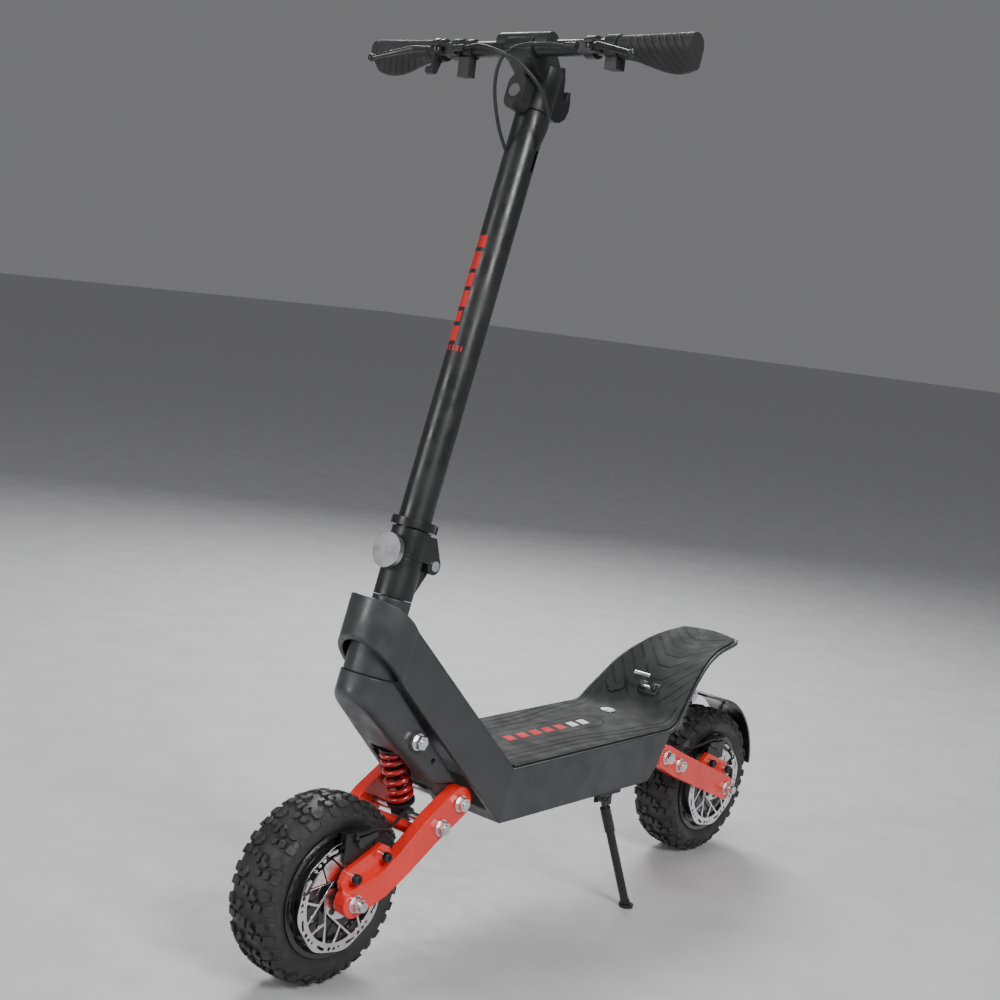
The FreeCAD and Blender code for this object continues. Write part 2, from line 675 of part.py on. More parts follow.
def hub_motor(x):
    """Rim and motor shell in one, hollow for the stator, with a spigot for the brake disc."""
    def ring(y0, r0, y1, r1):
        return [(y0, r0), (y1, r1)]

    half = [(34, RIM_R), (34, 91), (37.5, 91), (37.5, 84), (30, 78), (30, 70), (40, 66), (42, 40)]
    left = half + [(42, 27), (DISC_Y[0], 27), (DISC_Y[0], 18), (DISC_Y[1], 18), (DISC_Y[1], 0)]
    right = [(-y, r) for y, r in reversed(half)]
    outline = [(-42, 0)] + right + left
    corners = [Vector(0, y, r) for y, r in outline]
    face = Part.Face(Part.makePolygon(corners + corners[:1]))
    solid = face.revolve(Vector(0, 0, 0), Vector(0, 1, 0), 360)
    solid = solid.cut(rod_y(0, 0, 69.0, (-24, 24)))
    solid = solid.cut(rod_y(0, 0, AXLE_R + RUN_GAP, (-60, 60)))
    solid.translate(Vector(x, 0, TYRE_R))
    return solid


def disc(x):
    """Brake disc with a ring of slanted windows between its hub and its braking band."""
    solid = ring_y(0, 0, DISC_R, 18.0, DISC_Y)
    windows = 9
    for i in range(windows):
        start = 360.0 * i / windows
        corners = []
        for r, turn in ((30, 0), (30, 24), (60, 56), (60, 28)):
            angle = math.radians(start + turn)
            corners.append((r * math.cos(angle), r * math.sin(angle)))
        solid = solid.cut(prism(corners, (DISC_Y[0] - 1, DISC_Y[1] + 1)))
    solid.translate(Vector(x, 0, TYRE_R))
    return solid


CALLIPER_BACK = 18.0


def calliper(x, lean):
    """Brake calliper over the disc's upper edge; lean is +1 or -1 along X for its arm side."""
    z = TYRE_R
    block = box((x - 26, x + 26), (43.5, 55.5), (z + 51, z + 92))
    barrel = rod((x - 14, 60, z + 92), (x + 12, 60, z + 92), 3.5)
    post = rod_y(x, z + 78, 9.0, (55.5, 57.5))
    stop = box((x - 14, x - 8), (52, 62), (z + 84, z + 95))
    body = fuse([block, post, stop, barrel])
    if lean > 0:
        body = body.mirror(Vector(x, 0, 0), Vector(1, 0, 0))
    gap = ring_y(x + CALLIPER_BACK * lean, z, DISC_R + 3, 40, (DISC_Y[0] - 1.2, DISC_Y[1] + 1.2))
    return body.cut(gap)


def calliper_arm(x, lean):
    """Lever that the cable pulls, turning on the calliper's post."""
    z = TYRE_R + 78
    hub = rod_y(x, z, 8.0, (57.8, 61.8))
    plate = bar_plate([(x, z, 7.0), (x + 26, z + 6, 4.0)], (58.2, 61.4))
    body = fuse([hub, plate])
    return body.mirror(Vector(x, 0, 0), Vector(1, 0, 0)) if lean > 0 else body


def shock_points(upper, lower):
    top = Vector(upper[0], 0, upper[1])
    end = Vector(lower[0], 0, lower[1])
    along = end - top
    length = along.Length
    along.normalize()
    return top, along, length


SPRING_R = 16.8
SPRING_WIRE = 4.0
SEAT_R = 20.8
SPRING_START = 26.0
SPRING_STOP = 21.0


def shock_body(upper, lower):
    top, along, length = shock_points(upper, lower)
    eye = rod_y(top.x, top.z, 10.5, (-14, 14))
    barrel = Part.makeCylinder(9.5, 60, top + along * 6, along)
    seat = Part.makeCylinder(SEAT_R, 4, top + along * (SPRING_START - 4), along)
    body = fuse([eye, barrel, seat])
    body = body.cut(rod_y(top.x, top.z, BOLT_R + RUN_GAP, (-20, 20)))
    inside = Part.makeCylinder(5.2, 50, top + along * 20, along)
    return body.cut(inside)


def shock_rod(upper, lower):
    top, along, length = shock_points(upper, lower)
    end = top + along * length
    eye = rod_y(end.x, end.z, 10.5, (-14, 14))
    seat_at = length - SPRING_STOP
    seat = Part.makeCylinder(SEAT_R, 4, top + along * seat_at, along)
    neck = Part.makeCylinder(8.0, SPRING_STOP - 8, top + along * seat_at, along)
    shaft = Part.makeCylinder(5.0, length - 40, top + along * 34, along)
    body = fuse([eye, seat, neck, shaft])
    return body.cut(rod_y(end.x, end.z, BOLT_R + OPEN_PIVOT_GAP, (-20, 20)))


def shock_spring(upper, lower):
    top, along, length = shock_points(upper, lower)
    start = SPRING_START + SPRING_WIRE + 0.3
    height = length - SPRING_STOP - SPRING_WIRE - 0.3 - start
    turns = 5.5
    helix = Part.makeHelix(height / turns, height, SPRING_R)
    section = Part.Wire(Part.Circle(Vector(SPRING_R, 0, 0), Vector(0, 1, 0), SPRING_WIRE).toShape())
    coil = Part.Wire(helix).makePipeShell([section], True, True)
    coil.Placement = Placement(top + along * start, Rotation(Vector(0, 0, 1), along))
    return coil


def fender():
    """Curved rear mudguard with stays down to the right side of the swing arm."""
    cx, cz = FENDER_AT
    band = ring_y(cx, cz, FENDER_R[1], FENDER_R[0], (-FENDER_HALF, FENDER_HALF))
    start = math.radians(98)
    end = math.radians(178)
    wedge = [(cx, cz)]
    for i in range(5):
        angle = start + (end - start) * i / 4
        wedge.append((cx + 400 * math.cos(angle), cz + 400 * math.sin(angle)))
    band = band.common(prism(wedge, (-60, 60)))
    flare = []
    for r in (FENDER_R[1], FENDER_R[0]):
        ends = [(cx + r * math.cos(start), cz + r * math.sin(start))]
        ends.append((46, cz + r + 14))
        flare += ends if r == FENDER_R[1] else ends[::-1]
    solids = [band, prism(flare, (-FENDER_HALF, FENDER_HALF))]
    r = FENDER_R[1] - 2
    foot = (-14.0, TYRE_R + 10)
    for degrees in (112, 160):
        angle = math.radians(degrees)
        head = (cx + r * math.cos(angle), cz + r * math.sin(angle))
        stay = bar_plate([foot + (5.0,), head + (4.0,)], (-50, -47))
        solids.append(stay)
        solids.append(rod_y(head[0], head[1], 2.0, (-48, -FENDER_HALF + 1)))
    solids.append(bar_plate([foot + (7.0,), (-4, TYRE_R + 12, 7.0)], (-ARM_Y[0], -47)))
    return fuse(solids).cut(rod_y(0, TYRE_R, AXLE_R + 0.1, (-90, 90)))


# ---------------------------------------------------------------- stem and handlebar

def stem_parts():
    tube = Part.makeCylinder(TUBE_R, TUBE_TOP_S - TUBE_LOW_S, Vector(0, 0, TUBE_LOW_S), Vector(0, 0, 1))
    bore = Part.makeCylinder(TUBE_R - TUBE_WALL, TUBE_TOP_S - 300, Vector(0, 0, 300), Vector(0, 0, 1))
    tube = tube.cut(bore)
    slot = Part.makeBox(60, 11, 32, Vector(-14, 14, 874))
    slot = slot.common(Part.makeBox(11, 40, 40, Vector(-14, 10, 870)))
    tube = on_stem(tube.cut(slot))
    for r, points in STEM_CABLES.values():
        tube = tube.cut(cable(points, r + 0.3))
    save(tube, "stem_tube")
    ring = Part.makeCylinder(32, 12, Vector(0, 0, 343), Vector(0, 0, 1))
    ear = Part.makeBox(14, 16, 12, Vector(-44, -8, 343))
    ring = ring.fuse(ear)
    ring = ring.cut(Part.makeCylinder(TUBE_R, 20, Vector(0, 0, 340), Vector(0, 0, 1)))
    ring = ring.cut(Part.makeBox(30, 2, 20, Vector(-50, -1, 340)))
    save(on_stem(ring), "stem_clamp_ring")
    save(head_block(), "head_block")
    save(handlebar(), "handlebar")


def bar_local():
    """The handlebar's axis in the stem's own frame."""
    local = STEM_FRAME.inverse().multVec(Vector(BAR_X, 0, BAR_Z))
    return local.x, local.z


def head_block():
    u, s = bar_local()
    socket = Part.makeCylinder(27, 66, Vector(0, 0, 958), Vector(0, 0, 1))
    neck = prism([(-20, 1000), (30, 1000), (u + 14, s - 12), (u + 8, s + 12), (10, s + 14), (-14, 1024)],
                 (-22, 22))
    clamp = rod_y(u, s, 18.0, (-24, 24))
    body = fuse([socket, neck, clamp])
    body = body.cut(Part.makeCylinder(TUBE_R, 42, Vector(0, 0, TUBE_TOP_S - 42), Vector(0, 0, 1)))
    body = body.cut(rod_y(u, s, BAR_R, (-30, 30)))
    return on_stem(body)


def handlebar():
    return rod_y(BAR_X, BAR_Z, BAR_R, (-BAR_END, BAR_END))


def display():
    body = rod_y(BAR_X - 4, BAR_Z + 9, 14.5, (-46, 46))
    body = body.cut(rod_y(BAR_X, BAR_Z, BAR_R, (-60, 60)))
    save(body.cut(head_block()), "display")


def headlight():
    def oval(u, y_half, s_half):
        low = Part.makeCylinder(y_half, u[1] - u[0], Vector(u[0], 0, LAMP_S - s_half + y_half),
                                Vector(1, 0, 0))
        high = Part.makeCylinder(y_half, u[1] - u[0], Vector(u[0], 0, LAMP_S + s_half - y_half),
                                 Vector(1, 0, 0))
        middle = Part.makeBox(u[1] - u[0], 2 * y_half, 2 * (s_half - y_half),
                              Vector(u[0], -y_half, LAMP_S - s_half + y_half))
        return fuse([low, high, middle])

    lens = Part.makeCylinder(9.5, 3.0, Vector(47.5, 0, LAMP_S), Vector(1, 0, 0))
    housing = oval((27.5, 49), 16, 26)
    recess = Part.makeCylinder(9.5, 10, Vector(47.5, 0, LAMP_S), Vector(1, 0, 0))
    around = Part.makeCylinder(27, 200, Vector(0, 0, 900), Vector(0, 0, 1))
    housing = housing.cut(recess).cut(around)
    housing = on_stem(housing).cut(head_block())
    save(housing, "headlight_housing")
    save(on_stem(lens), "headlight_lens")


LAMP_S = 972.0


def fold_hook():
    """Thin plate behind the head block, ending in a hook that opens upwards."""
    outline = [(-24, 1040), (-36, 1044), (-44, 1026), (-48.5, 1006), (-52, 1000), (-56, 1000), (-57.5, 1004),
               (-57.5, 1017), (-61.5, 1018), (-67, 1004), (-69, 991), (-65, 978), (-56, 969), (-45, 965),
               (-34, 967), (-24, 976)]
    plate = prism(outline, (-5, 5))
    around = Part.makeCylinder(27, 200, Vector(0, 0, 860), Vector(0, 0, 1))
    body = on_stem(plate.cut(around)).cut(head_block())
    save(body, "fold_hook")


def grip_section(y, r, wing_x, wing_z, wing_r):
    """Round grip section with a palm wing hanging under it."""
    reach = math.hypot(wing_x, wing_z)
    heading = math.atan2(wing_z, wing_x)
    lean = math.acos((r - wing_r) / reach)

    def at(centre, radius, angle):
        return Vector(BAR_X + centre[0] + radius * math.cos(angle), y,
                      BAR_Z + centre[1] + radius * math.sin(angle))

    hub = (0.0, 0.0)
    wing = (wing_x, wing_z)
    a = at(hub, r, heading + lean)
    b = at(hub, r, heading + math.pi)
    c = at(hub, r, heading - lean)
    d = at(wing, wing_r, heading - lean)
    e = at(wing, wing_r, heading)
    f = at(wing, wing_r, heading + lean)
    edges = [Part.Arc(a, b, c), Part.LineSegment(c, d), Part.Arc(d, e, f), Part.LineSegment(f, a)]
    return Part.Wire([edge.toShape() for edge in edges])


def grips():
    """Ergonomic grips that widen outwards into a wing under the bar."""
    stations = [(GRIP_IN, 15.0, -3.0, -7.0, 9.0), (200, 15.2, -6.0, -12.0, 8.5), (235, 16.0, -9.0, -24.0, 7.0),
                (265, 16.8, -9.0, -28.0, 6.5), (GRIP_OUT, 17.0, -6.0, -22.0, 7.0)]
    body = Part.makeLoft([grip_section(*station) for station in stations], True, False)
    body = body.cut(rod_y(BAR_X, BAR_Z, BAR_R, (0, BAR_END)))
    save(group(both_sides(body)), "grips")


LEVER_PIVOT = (736.0, 140.0, 1308.0)
LEVER_TIP = (772.0, 236.0, 1290.0)


def control_clamps():
    """Brake lever perches, the left switch housing and the right throttle housing."""
    solids = []
    for side in (1, -1):
        band = ring_y(BAR_X, BAR_Z, 15.5, BAR_R, sorted((side * 114, side * 130)))
        reach = box((BAR_X + 10, 729), sorted((side * 112, side * 146)), (1302, 1318))
        jaws = []
        for z in ((1301, 1304.6), (1311.4, 1315)):
            jaws.append(box((727, 744), sorted((side * 132, side * 148)), z))
        adjuster = rod((731, side * 112, 1310), (731, side * 92, 1310), 4.5)
        perch = fuse([band, reach, adjuster] + jaws)
        perch = perch.cut(rod_y(BAR_X, BAR_Z, BAR_R, (-200, 200)))
        perch = perch.cut(rod((LEVER_PIVOT[0], side * 140, 1290), (LEVER_PIVOT[0], side * 140, 1330), 2.5))
        solids.append(perch)
    switch = ring_y(BAR_X, BAR_Z, 16.5, BAR_R, (150, 169))
    pod = box((BAR_X - 12, BAR_X + 8), (150, 169), (BAR_Z - 30, BAR_Z - 12))
    switch = switch.fuse(pod).cut(rod_y(BAR_X, BAR_Z, BAR_R, (140, 180)))
    button_hole = rod((BAR_X - 2, 159.5, BAR_Z - 22), (BAR_X - 20, 159.5, BAR_Z - 22), 5.0)
    solids.append(switch.cut(button_hole))
    throttle = ring_y(BAR_X, BAR_Z, 17.0, BAR_R, (-168, -158))
    solids.append(throttle)
    horn = ring_y(BAR_X, BAR_Z, 14.5, BAR_R, (-104, -92))
    box_part = box((BAR_X - 4, BAR_X + 12), (-112, -92), (BAR_Z - 40, BAR_Z - 12))
    solids.append(horn.fuse(box_part).cut(rod_y(BAR_X, BAR_Z, BAR_R, (-120, -80))))
    save(group(solids), "control_clamps")


def brake_lever(side):
    """Blade from its pivot out past the grip, ending in a ball."""
    x, y, z = LEVER_PIVOT
    hub = rod((x, side * y, 1304.9), (x, side * y, 1311.1), 7.0)
    pin = rod((x, side * y, 1301), (x, side * y, 1315), 2.5 - RUN_GAP)
    tip = Vector(LEVER_TIP[0], side * LEVER_TIP[1], LEVER_TIP[2])
    knee = Vector(x + 20, side * (y + 28), 1305)
    blade = []
    for a, b, ra, rb in ((Vector(x, side * y, 1308), knee, 3.0, 4.6), (knee, tip, 4.6, 3.6)):
        blade.append(Part.makeCone(ra, rb, (b - a).Length, a, b - a))
    balls = [Part.makeSphere(4.6, knee), Part.makeSphere(5.6, tip)]
    body = fuse([hub] + blade + balls)
    for low, high in ((1290, 1304.9), (1311.1, 1325)):
        body = body.cut(rod((x, side * y, low), (x, side * y, high), 15.0))
    return fuse([body, pin])


def throttle_lever():
    hub = ring_y(BAR_X, BAR_Z, 16.0, BAR_R + RUN_GAP, (-157.6, -149))
    paddle = bar_plate([(BAR_X + 10, BAR_Z - 13, 5.0), (BAR_X + 20, BAR_Z - 32, 6.0)], (-157, -150))
    pad = rod((BAR_X + 20, -164, BAR_Z - 32), (BAR_X + 20, -150, BAR_Z - 32), 6.0)
    body = fuse([hub, paddle, pad]).cut(rod_y(BAR_X, BAR_Z, BAR_R + RUN_GAP, (-170, -140)))
    save(body, "throttle_lever")


def horn_button():
    body = rod((BAR_X - 6, 159.5, BAR_Z - 22), (BAR_X - 15, 159.5, BAR_Z - 22), 4.9)
    save(body, "horn_button")


STEM_CABLES = {
    "left brake": (2.5, [(731, 92, 1310), (738, 74, 1311), (748, 49, 1310), (757, 25, 1305),
                         (762, 9, 1292), (761, 1, 1272), (757, -3, 1250), (748, -5, 1225),
                         (734, -7, 1198), (716, -8, 1174), (700, -8, 1156)]),
    "right brake": (2.5, [(731, -92, 1310), (740, -66, 1311), (753, -42, 1309), (765, -16, 1303),
                          (764, 14, 1295), (752, 40, 1280), (736, 54, 1262), (720, 60, 1242),
                          (706, 58, 1222), (696, 48, 1204), (688, 34, 1188), (683, 20, 1174)]),
}


def stem_cables():
    tubes = [cable(points, r) for r, points in STEM_CABLES.values()]
    save(group(tubes), "stem_cables")


def brake_cables():
    front = [(911, 60, 225), (894, 60, 226), (877, 56, 220), (859, 50, 216), (837, 45, 224), (815, 38, 232)]
    save(cable(front, 2.5), "front_brake_cable")
    rear = [(30, 60, 225), (47, 60, 226), (64, 56, 220), (82, 50, 215), (114, 47, 216), (146, 45, 224)]
    save(cable(rear, 2.5), "rear_brake_cable")


# ---------------------------------------------------------------- kickstand

def kickstand():
    x, y, z = STAND_PIVOT
    low = DECK_LOW - 3
    plate = box((x - 30, x + 26), (y - 20, y + 12), (low - 4, low))
    cheeks = [box((x - 9, x + 9), span, (z - 9, low - 4)) for span in ((y - 11, y - 7.2), (y + 7.2, y + 11))]
    rib = box((x - 30, x + 26), (y + 8, y + 12), (low, low + 3))
    bracket = fuse([plate, rib] + cheeks)
    bracket = bracket.cut(rod_y(x, z, 4.0, (y - 30, y + 30)))
    save(bracket, "kickstand_bracket")
    pin = rod_y(x, z, 4.0 - RUN_GAP, (y - 12.5, y + 12.5))
    hub = rod_y(x, z, 8.0, (y - 6.8, y + 6.8))
    foot = Vector(*STAND_FOOT)
    top = Vector(x, y, z)
    ankle = top + (foot - top) * 0.955
    sleeve_end = top + (foot - top) * 0.30
    along = ankle - top
    neck = Part.makeCylinder(5.0, 20, top, along)
    leg = Part.makeCylinder(7.0, along.Length - 16, top + along * (16 / along.Length), along)
    sleeve_len = (sleeve_end - top).Length - 18
    sleeve = Part.makeCylinder(8.6, sleeve_len, top + along * (18 / along.Length), along)
    pad = Part.makeCylinder(12, 4.5, Vector(foot.x, foot.y, 0), Vector(0, 0, 1))
    boot = Part.makeSphere(8.2, ankle)
    solid = fuse([pin, hub, neck, leg, sleeve, pad, boot])
    solid = solid.cut(box((300, 460), (60, 200), (-30, 0)))
    save(solid, "kickstand_leg")


# ---------------------------------------------------------------- build

def build():
    save(main_frame(), "main_frame")
    save(deck_mat(), "deck_mat")
    deck_fittings()
    latch_bail()
    inside_deck()
    headset()
    rear_mount_bolts()
    kickstand()
    fork()
    fork_bolts()
    lower_fold_casting()
    fold_knob()
    upper_fold_casting()

    front_tab = [(862, 176), (872, 196), (886, 203), (952, 176), (960, 160), (952, 140), (885, 150)]
    rear_tab = [(79, 176), (69, 196), (55, 203), (-11, 176), (-19, 160), (-11, 140), (56, 150)]
    save(arm(FRONT_ARM, FRONT_PIVOT, FRONT_LOWER, front_tab, (804, 200)), "front_arm")
    save(arm(REAR_ARM, REAR_PIVOT, REAR_LOWER, rear_tab, (148, 188)), "rear_arm")
    for name, x, lean, bolt, tab_bolts in (
            ("front", WHEELBASE, 1, FRONT_LOWER, ((886, 187), (WHEELBASE, 167))),
            ("rear", 0.0, -1, REAR_LOWER, ((55, 187), (0, 167)))):
        save(axle(x), f"{name}_axle")
        save(stator(x), f"{name}_stator")
        save(tyre(x), f"{name}_tyre")
        save(hub_motor(x), f"{name}_hub_motor")
        save(disc(x), f"{name}_disc")
        shift = -CALLIPER_BACK * lean
        save(calliper(x + shift, lean), f"{name}_calliper")
        save(calliper_arm(x + shift, lean), f"{name}_calliper_arm")
        fasteners = [through_bolt(bolt[0], bolt[1], ARM_Y[1])]
        for bx, bz in tab_bolts:
            fasteners.append(rod_y(bx, bz, 6.5, (ARM_Y[0] + 9, ARM_Y[0] + 15)))
        save(group(fasteners), f"{name}_arm_bolts")
    for name, upper, lower in (("front", FRONT_UPPER, FRONT_LOWER), ("rear", REAR_UPPER, REAR_LOWER)):
        save(shock_body(upper, lower), f"{name}_shock_body")
        save(shock_rod(upper, lower), f"{name}_shock_rod")
        save(shock_spring(upper, lower), f"{name}_shock_spring")
    save(fender(), "rear_fender")
    brake_cables()

    stem_parts()
    display()
    headlight()
    fold_hook()
    grips()
    control_clamps()
    save(brake_lever(1), "left_brake_lever")
    save(brake_lever(-1), "right_brake_lever")
    throttle_lever()
    horn_button()
    stem_cables()


build()
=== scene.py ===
import json
import math

import bmesh
import bpy
from mathutils import Matrix, Vector


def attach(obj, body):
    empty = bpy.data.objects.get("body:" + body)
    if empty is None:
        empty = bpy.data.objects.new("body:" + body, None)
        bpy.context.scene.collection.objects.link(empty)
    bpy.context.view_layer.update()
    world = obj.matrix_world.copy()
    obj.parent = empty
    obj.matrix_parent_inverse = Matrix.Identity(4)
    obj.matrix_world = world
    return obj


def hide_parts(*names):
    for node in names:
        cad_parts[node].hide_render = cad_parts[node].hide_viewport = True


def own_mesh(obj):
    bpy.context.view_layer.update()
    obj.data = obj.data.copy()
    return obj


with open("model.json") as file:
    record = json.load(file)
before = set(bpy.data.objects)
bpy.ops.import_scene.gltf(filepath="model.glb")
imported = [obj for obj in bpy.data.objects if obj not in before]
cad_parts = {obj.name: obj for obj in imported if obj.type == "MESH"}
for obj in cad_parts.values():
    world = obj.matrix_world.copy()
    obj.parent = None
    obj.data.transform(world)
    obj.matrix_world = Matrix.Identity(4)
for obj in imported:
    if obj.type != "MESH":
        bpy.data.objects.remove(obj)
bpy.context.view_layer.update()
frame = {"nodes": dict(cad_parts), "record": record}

MM = 0.001
ORIGIN_X = 466.0
TYRE_R = 133.0
WHEELS = {"front": 941.0, "rear": 0.0}
DISC_MID = 49.5
DISC_T = 2.0
TUBE_R = 24.0
DECK_TOP = 287.0
PRINT_LIFT = 0.12
STEERING_RISE = 0.968148
STEERING_RAKE = 0.25038
STEERING_FOOT = (913.0, 300.0)
SHOCK_EYES = {"front": ((826, 0, 337), (782, 0, 210)), "rear": ((99, 0, 309), (169, 0, 203))}
UPPER_SEAT = 26.0
LOWER_SEAT = 21.0
TAB_SCREWS = {"front": ((886, 187), (941, 167)), "rear": ((55, 187), (0, 167))}


def at(x, y, z):
    """Point in the row frame, in metres, from the millimetres that the drawing uses."""
    return Vector(((x - ORIGIN_X) * MM, y * MM, z * MM))


def stem_at(u, y, s):
    """Point u in front of the steering axis and s up along it, in millimetres."""
    foot_x, foot_z = STEERING_FOOT
    return at(foot_x + STEERING_RISE * u - STEERING_RAKE * s, y,
              foot_z + STEERING_RAKE * u + STEERING_RISE * s)


def to_data(name, mesh):
    """Mesh datablock from an edit mesh, which is freed."""
    data = bpy.data.meshes.new(name)
    mesh.to_mesh(data)
    mesh.free()
    return data


# ---------------------------------------------------------------- shader helpers

class Value:
    """A number in a shader tree. Arithmetic on it adds math nodes."""

    def __init__(self, tree, socket):
        self.tree = tree
        self.socket = socket

    def op(self, name, *others):
        node = self.tree.nodes.new("ShaderNodeMath")
        node.operation = name
        for slot, item in zip(node.inputs, (self,) + others):
            if isinstance(item, Value):
                self.tree.links.new(item.socket, slot)
            else:
                slot.default_value = item
        return Value(self.tree, node.outputs[0])

    def __add__(self, other):
        return self.op("ADD", other)

    def __sub__(self, other):
        return self.op("SUBTRACT", other)

    def __mul__(self, other):
        return self.op("MULTIPLY", other)

    def __truediv__(self, other):
        return self.op("DIVIDE", other)

    def abs(self):
        return self.op("ABSOLUTE")

    def max(self, other):
        return self.op("MAXIMUM", other)

    def fold(self, period):
        """Distance to the nearest multiple of period."""
        return self.op("PINGPONG", period / 2)

    def step(self, low, high):
        """0 up to low, 1 from high, smooth between; swapped when low is above high."""
        node = self.tree.nodes.new("ShaderNodeMapRange")
        node.interpolation_type = "SMOOTHSTEP"
        flip = low > high
        node.inputs["From Min"].default_value = min(low, high)
        node.inputs["From Max"].default_value = max(low, high)
        node.inputs["To Min"].default_value = 1.0 if flip else 0.0
        node.inputs["To Max"].default_value = 0.0 if flip else 1.0
        self.tree.links.new(self.socket, node.inputs["Value"])
        return Value(self.tree, node.outputs["Result"])


class Finish:
    """A procedural material around one Principled shader."""

    def __init__(self, name, base, rough, metal=0.0, coat=0.0):
        self.material = bpy.data.materials.new(name)
        self.material.use_nodes = True
        self.material.diffuse_color = (*base, 1.0)
        self.tree = self.material.node_tree
        self.shader = self.tree.nodes["Principled BSDF"]
        self.shader.inputs["Metallic"].default_value = metal
        self.shader.inputs["Coat Weight"].default_value = coat
        self.shader.inputs["Coat Roughness"].default_value = 0.12
        self.coords = self.tree.nodes.new("ShaderNodeTexCoord").outputs["Object"]
        self.base = base
        self.rough = rough
        self.heights = []
        self.colour = None

    def xyz(self):
        node = self.tree.nodes.new("ShaderNodeSeparateXYZ")
        self.tree.links.new(self.coords, node.inputs[0])
        return [Value(self.tree, out) for out in node.outputs]

    def noise(self, scale, detail=3.0, stretch=None):
        source = self.coords
        if stretch:
            mapping = self.tree.nodes.new("ShaderNodeMapping")
            mapping.inputs["Scale"].default_value = stretch
            self.tree.links.new(source, mapping.inputs["Vector"])
            source = mapping.outputs[0]
        node = self.tree.nodes.new("ShaderNodeTexNoise")
        node.inputs["Scale"].default_value = scale
        node.inputs["Detail"].default_value = detail
        self.tree.links.new(source, node.inputs["Vector"])
        return Value(self.tree, node.outputs["Fac"])

    def edges(self, radius):
        """1 on edges, where a lighter colour is painted as a highlight, 0 on flats, and the softened normal.
        """
        bevel = self.tree.nodes.new("ShaderNodeBevel")
        bevel.inputs["Radius"].default_value = radius
        bevel.samples = 6
        shape = self.tree.nodes.new("ShaderNodeNewGeometry")
        dot = self.tree.nodes.new("ShaderNodeVectorMath")
        dot.operation = "DOT_PRODUCT"
        self.tree.links.new(bevel.outputs[0], dot.inputs[0])
        self.tree.links.new(shape.outputs["Normal"], dot.inputs[1])
        return Value(self.tree, dot.outputs["Value"]).step(0.995, 0.80), bevel.outputs[0]

    def mix(self, amount, colour):
        """Blend the colour so far towards another one by amount."""
        node = self.tree.nodes.new("ShaderNodeMix")
        node.data_type = "RGBA"
        if self.colour is None:
            node.inputs["A"].default_value = (*self.base, 1.0)
        else:
            self.tree.links.new(self.colour, node.inputs["A"])
        node.inputs["B"].default_value = (*colour, 1.0)
        self.tree.links.new(amount.socket, node.inputs["Factor"])
        self.colour = node.outputs["Result"]

    def raise_by(self, value, height):
        """Add bumps: value times height metres."""
        self.heights.append(value * height)

    def done(self, spread=0.25, rough_spread=0.12, soften=0.0008, edge_highlight=0.0, edge_highlight_colour=None, normal=True):
        lighter = tuple(min(1.0, c * (1 + spread) + 0.004) for c in self.base)
        self.mix(self.noise(9.0).step(0.35, 0.68), lighter)
        lit_edges, soft_normal = self.edges(soften)
        # Painted highlight: a lighter colour is laid along the edges, broken into patches.
        if edge_highlight:
            patches = self.noise(60.0).step(0.35, 0.62)
            self.mix(lit_edges * patches * edge_highlight, edge_highlight_colour or tuple(min(1.0, c * 2.2 + 0.02) for c in self.base))
        patchy = self.noise(28.0, 4.0).step(0.3, 0.7)
        roughness = patchy * (2 * rough_spread) + (self.rough - rough_spread)
        self.tree.links.new(self.colour, self.shader.inputs["Base Color"])
        self.tree.links.new(roughness.socket, self.shader.inputs["Roughness"])
        bump = self.tree.nodes.new("ShaderNodeBump")
        bump.inputs["Strength"].default_value = 1.0
        bump.inputs["Distance"].default_value = 1.0
        total = self.heights[0]
        for more in self.heights[1:]:
            total = total + more
        self.tree.links.new(total.socket, bump.inputs["Height"])
        if normal:
            self.tree.links.new(soft_normal, bump.inputs["Normal"])
        self.tree.links.new(bump.outputs[0], self.shader.inputs["Normal"])
        return self.material


def textured_paint(name, base, rough, grain, height, coat=0.0, soften=0.0015, edge_highlight=0.5):
    finish = Finish(name, base, rough, coat=coat)
    finish.raise_by(finish.noise(grain, 2.0), height)
    finish.raise_by(finish.noise(14.0, 2.0), height * 1.5)
    return finish.done(spread=0.18, soften=soften, edge_highlight=edge_highlight)


def bright_metal(name, base, rough, stretch, height=0.00002, soften=0.0006):
    finish = Finish(name, base, rough, metal=1.0)
    finish.raise_by(finish.noise(420.0, 2.0, stretch), height)
    finish.mix(finish.noise(35.0, 4.0).step(0.45, 0.75), tuple(c * 0.72 for c in base))
    # The edges get near white as a painted highlight.
    return finish.done(spread=0.12, rough_spread=0.10, soften=soften, edge_highlight=0.4, edge_highlight_colour=(0.9, 0.9, 0.9))


def turned_metal(name, base, rough, centre, axis, spacing):
    """Metal with fine turning rings about an axis."""
    finish = Finish(name, base, rough, metal=1.0)
    relative = finish.tree.nodes.new("ShaderNodeVectorMath")
    relative.operation = "SUBTRACT"
    relative.inputs[1].default_value = centre
    finish.tree.links.new(finish.coords, relative.inputs[0])
    cross = finish.tree.nodes.new("ShaderNodeVectorMath")
    cross.operation = "CROSS_PRODUCT"
    cross.inputs[1].default_value = axis
    finish.tree.links.new(relative.outputs[0], cross.inputs[0])
    length = finish.tree.nodes.new("ShaderNodeVectorMath")
    length.operation = "LENGTH"
    finish.tree.links.new(cross.outputs[0], length.inputs[0])
    radius = Value(finish.tree, length.outputs["Value"])
    rings = (radius + finish.noise(30.0) * 0.0002).fold(spacing) / spacing
    finish.raise_by(rings, 0.00006)
    finish.raise_by(finish.noise(500.0), 0.00001)
    finish.mix(rings.step(0.1, 0.5) * 0.35, tuple(c * 0.6 for c in base))
    return finish.done(spread=0.1, rough_spread=0.08, soften=0.0008, edge_highlight=0.3)


def plastic(name, base, rough, grain=260.0, height=0.00005, coat=0.0, edge_highlight=0.25):
    finish = Finish(name, base, rough, coat=coat)
    finish.raise_by(finish.noise(grain, 3.0), height)
    return finish.done(spread=0.3, soften=0.001, edge_highlight=edge_highlight)


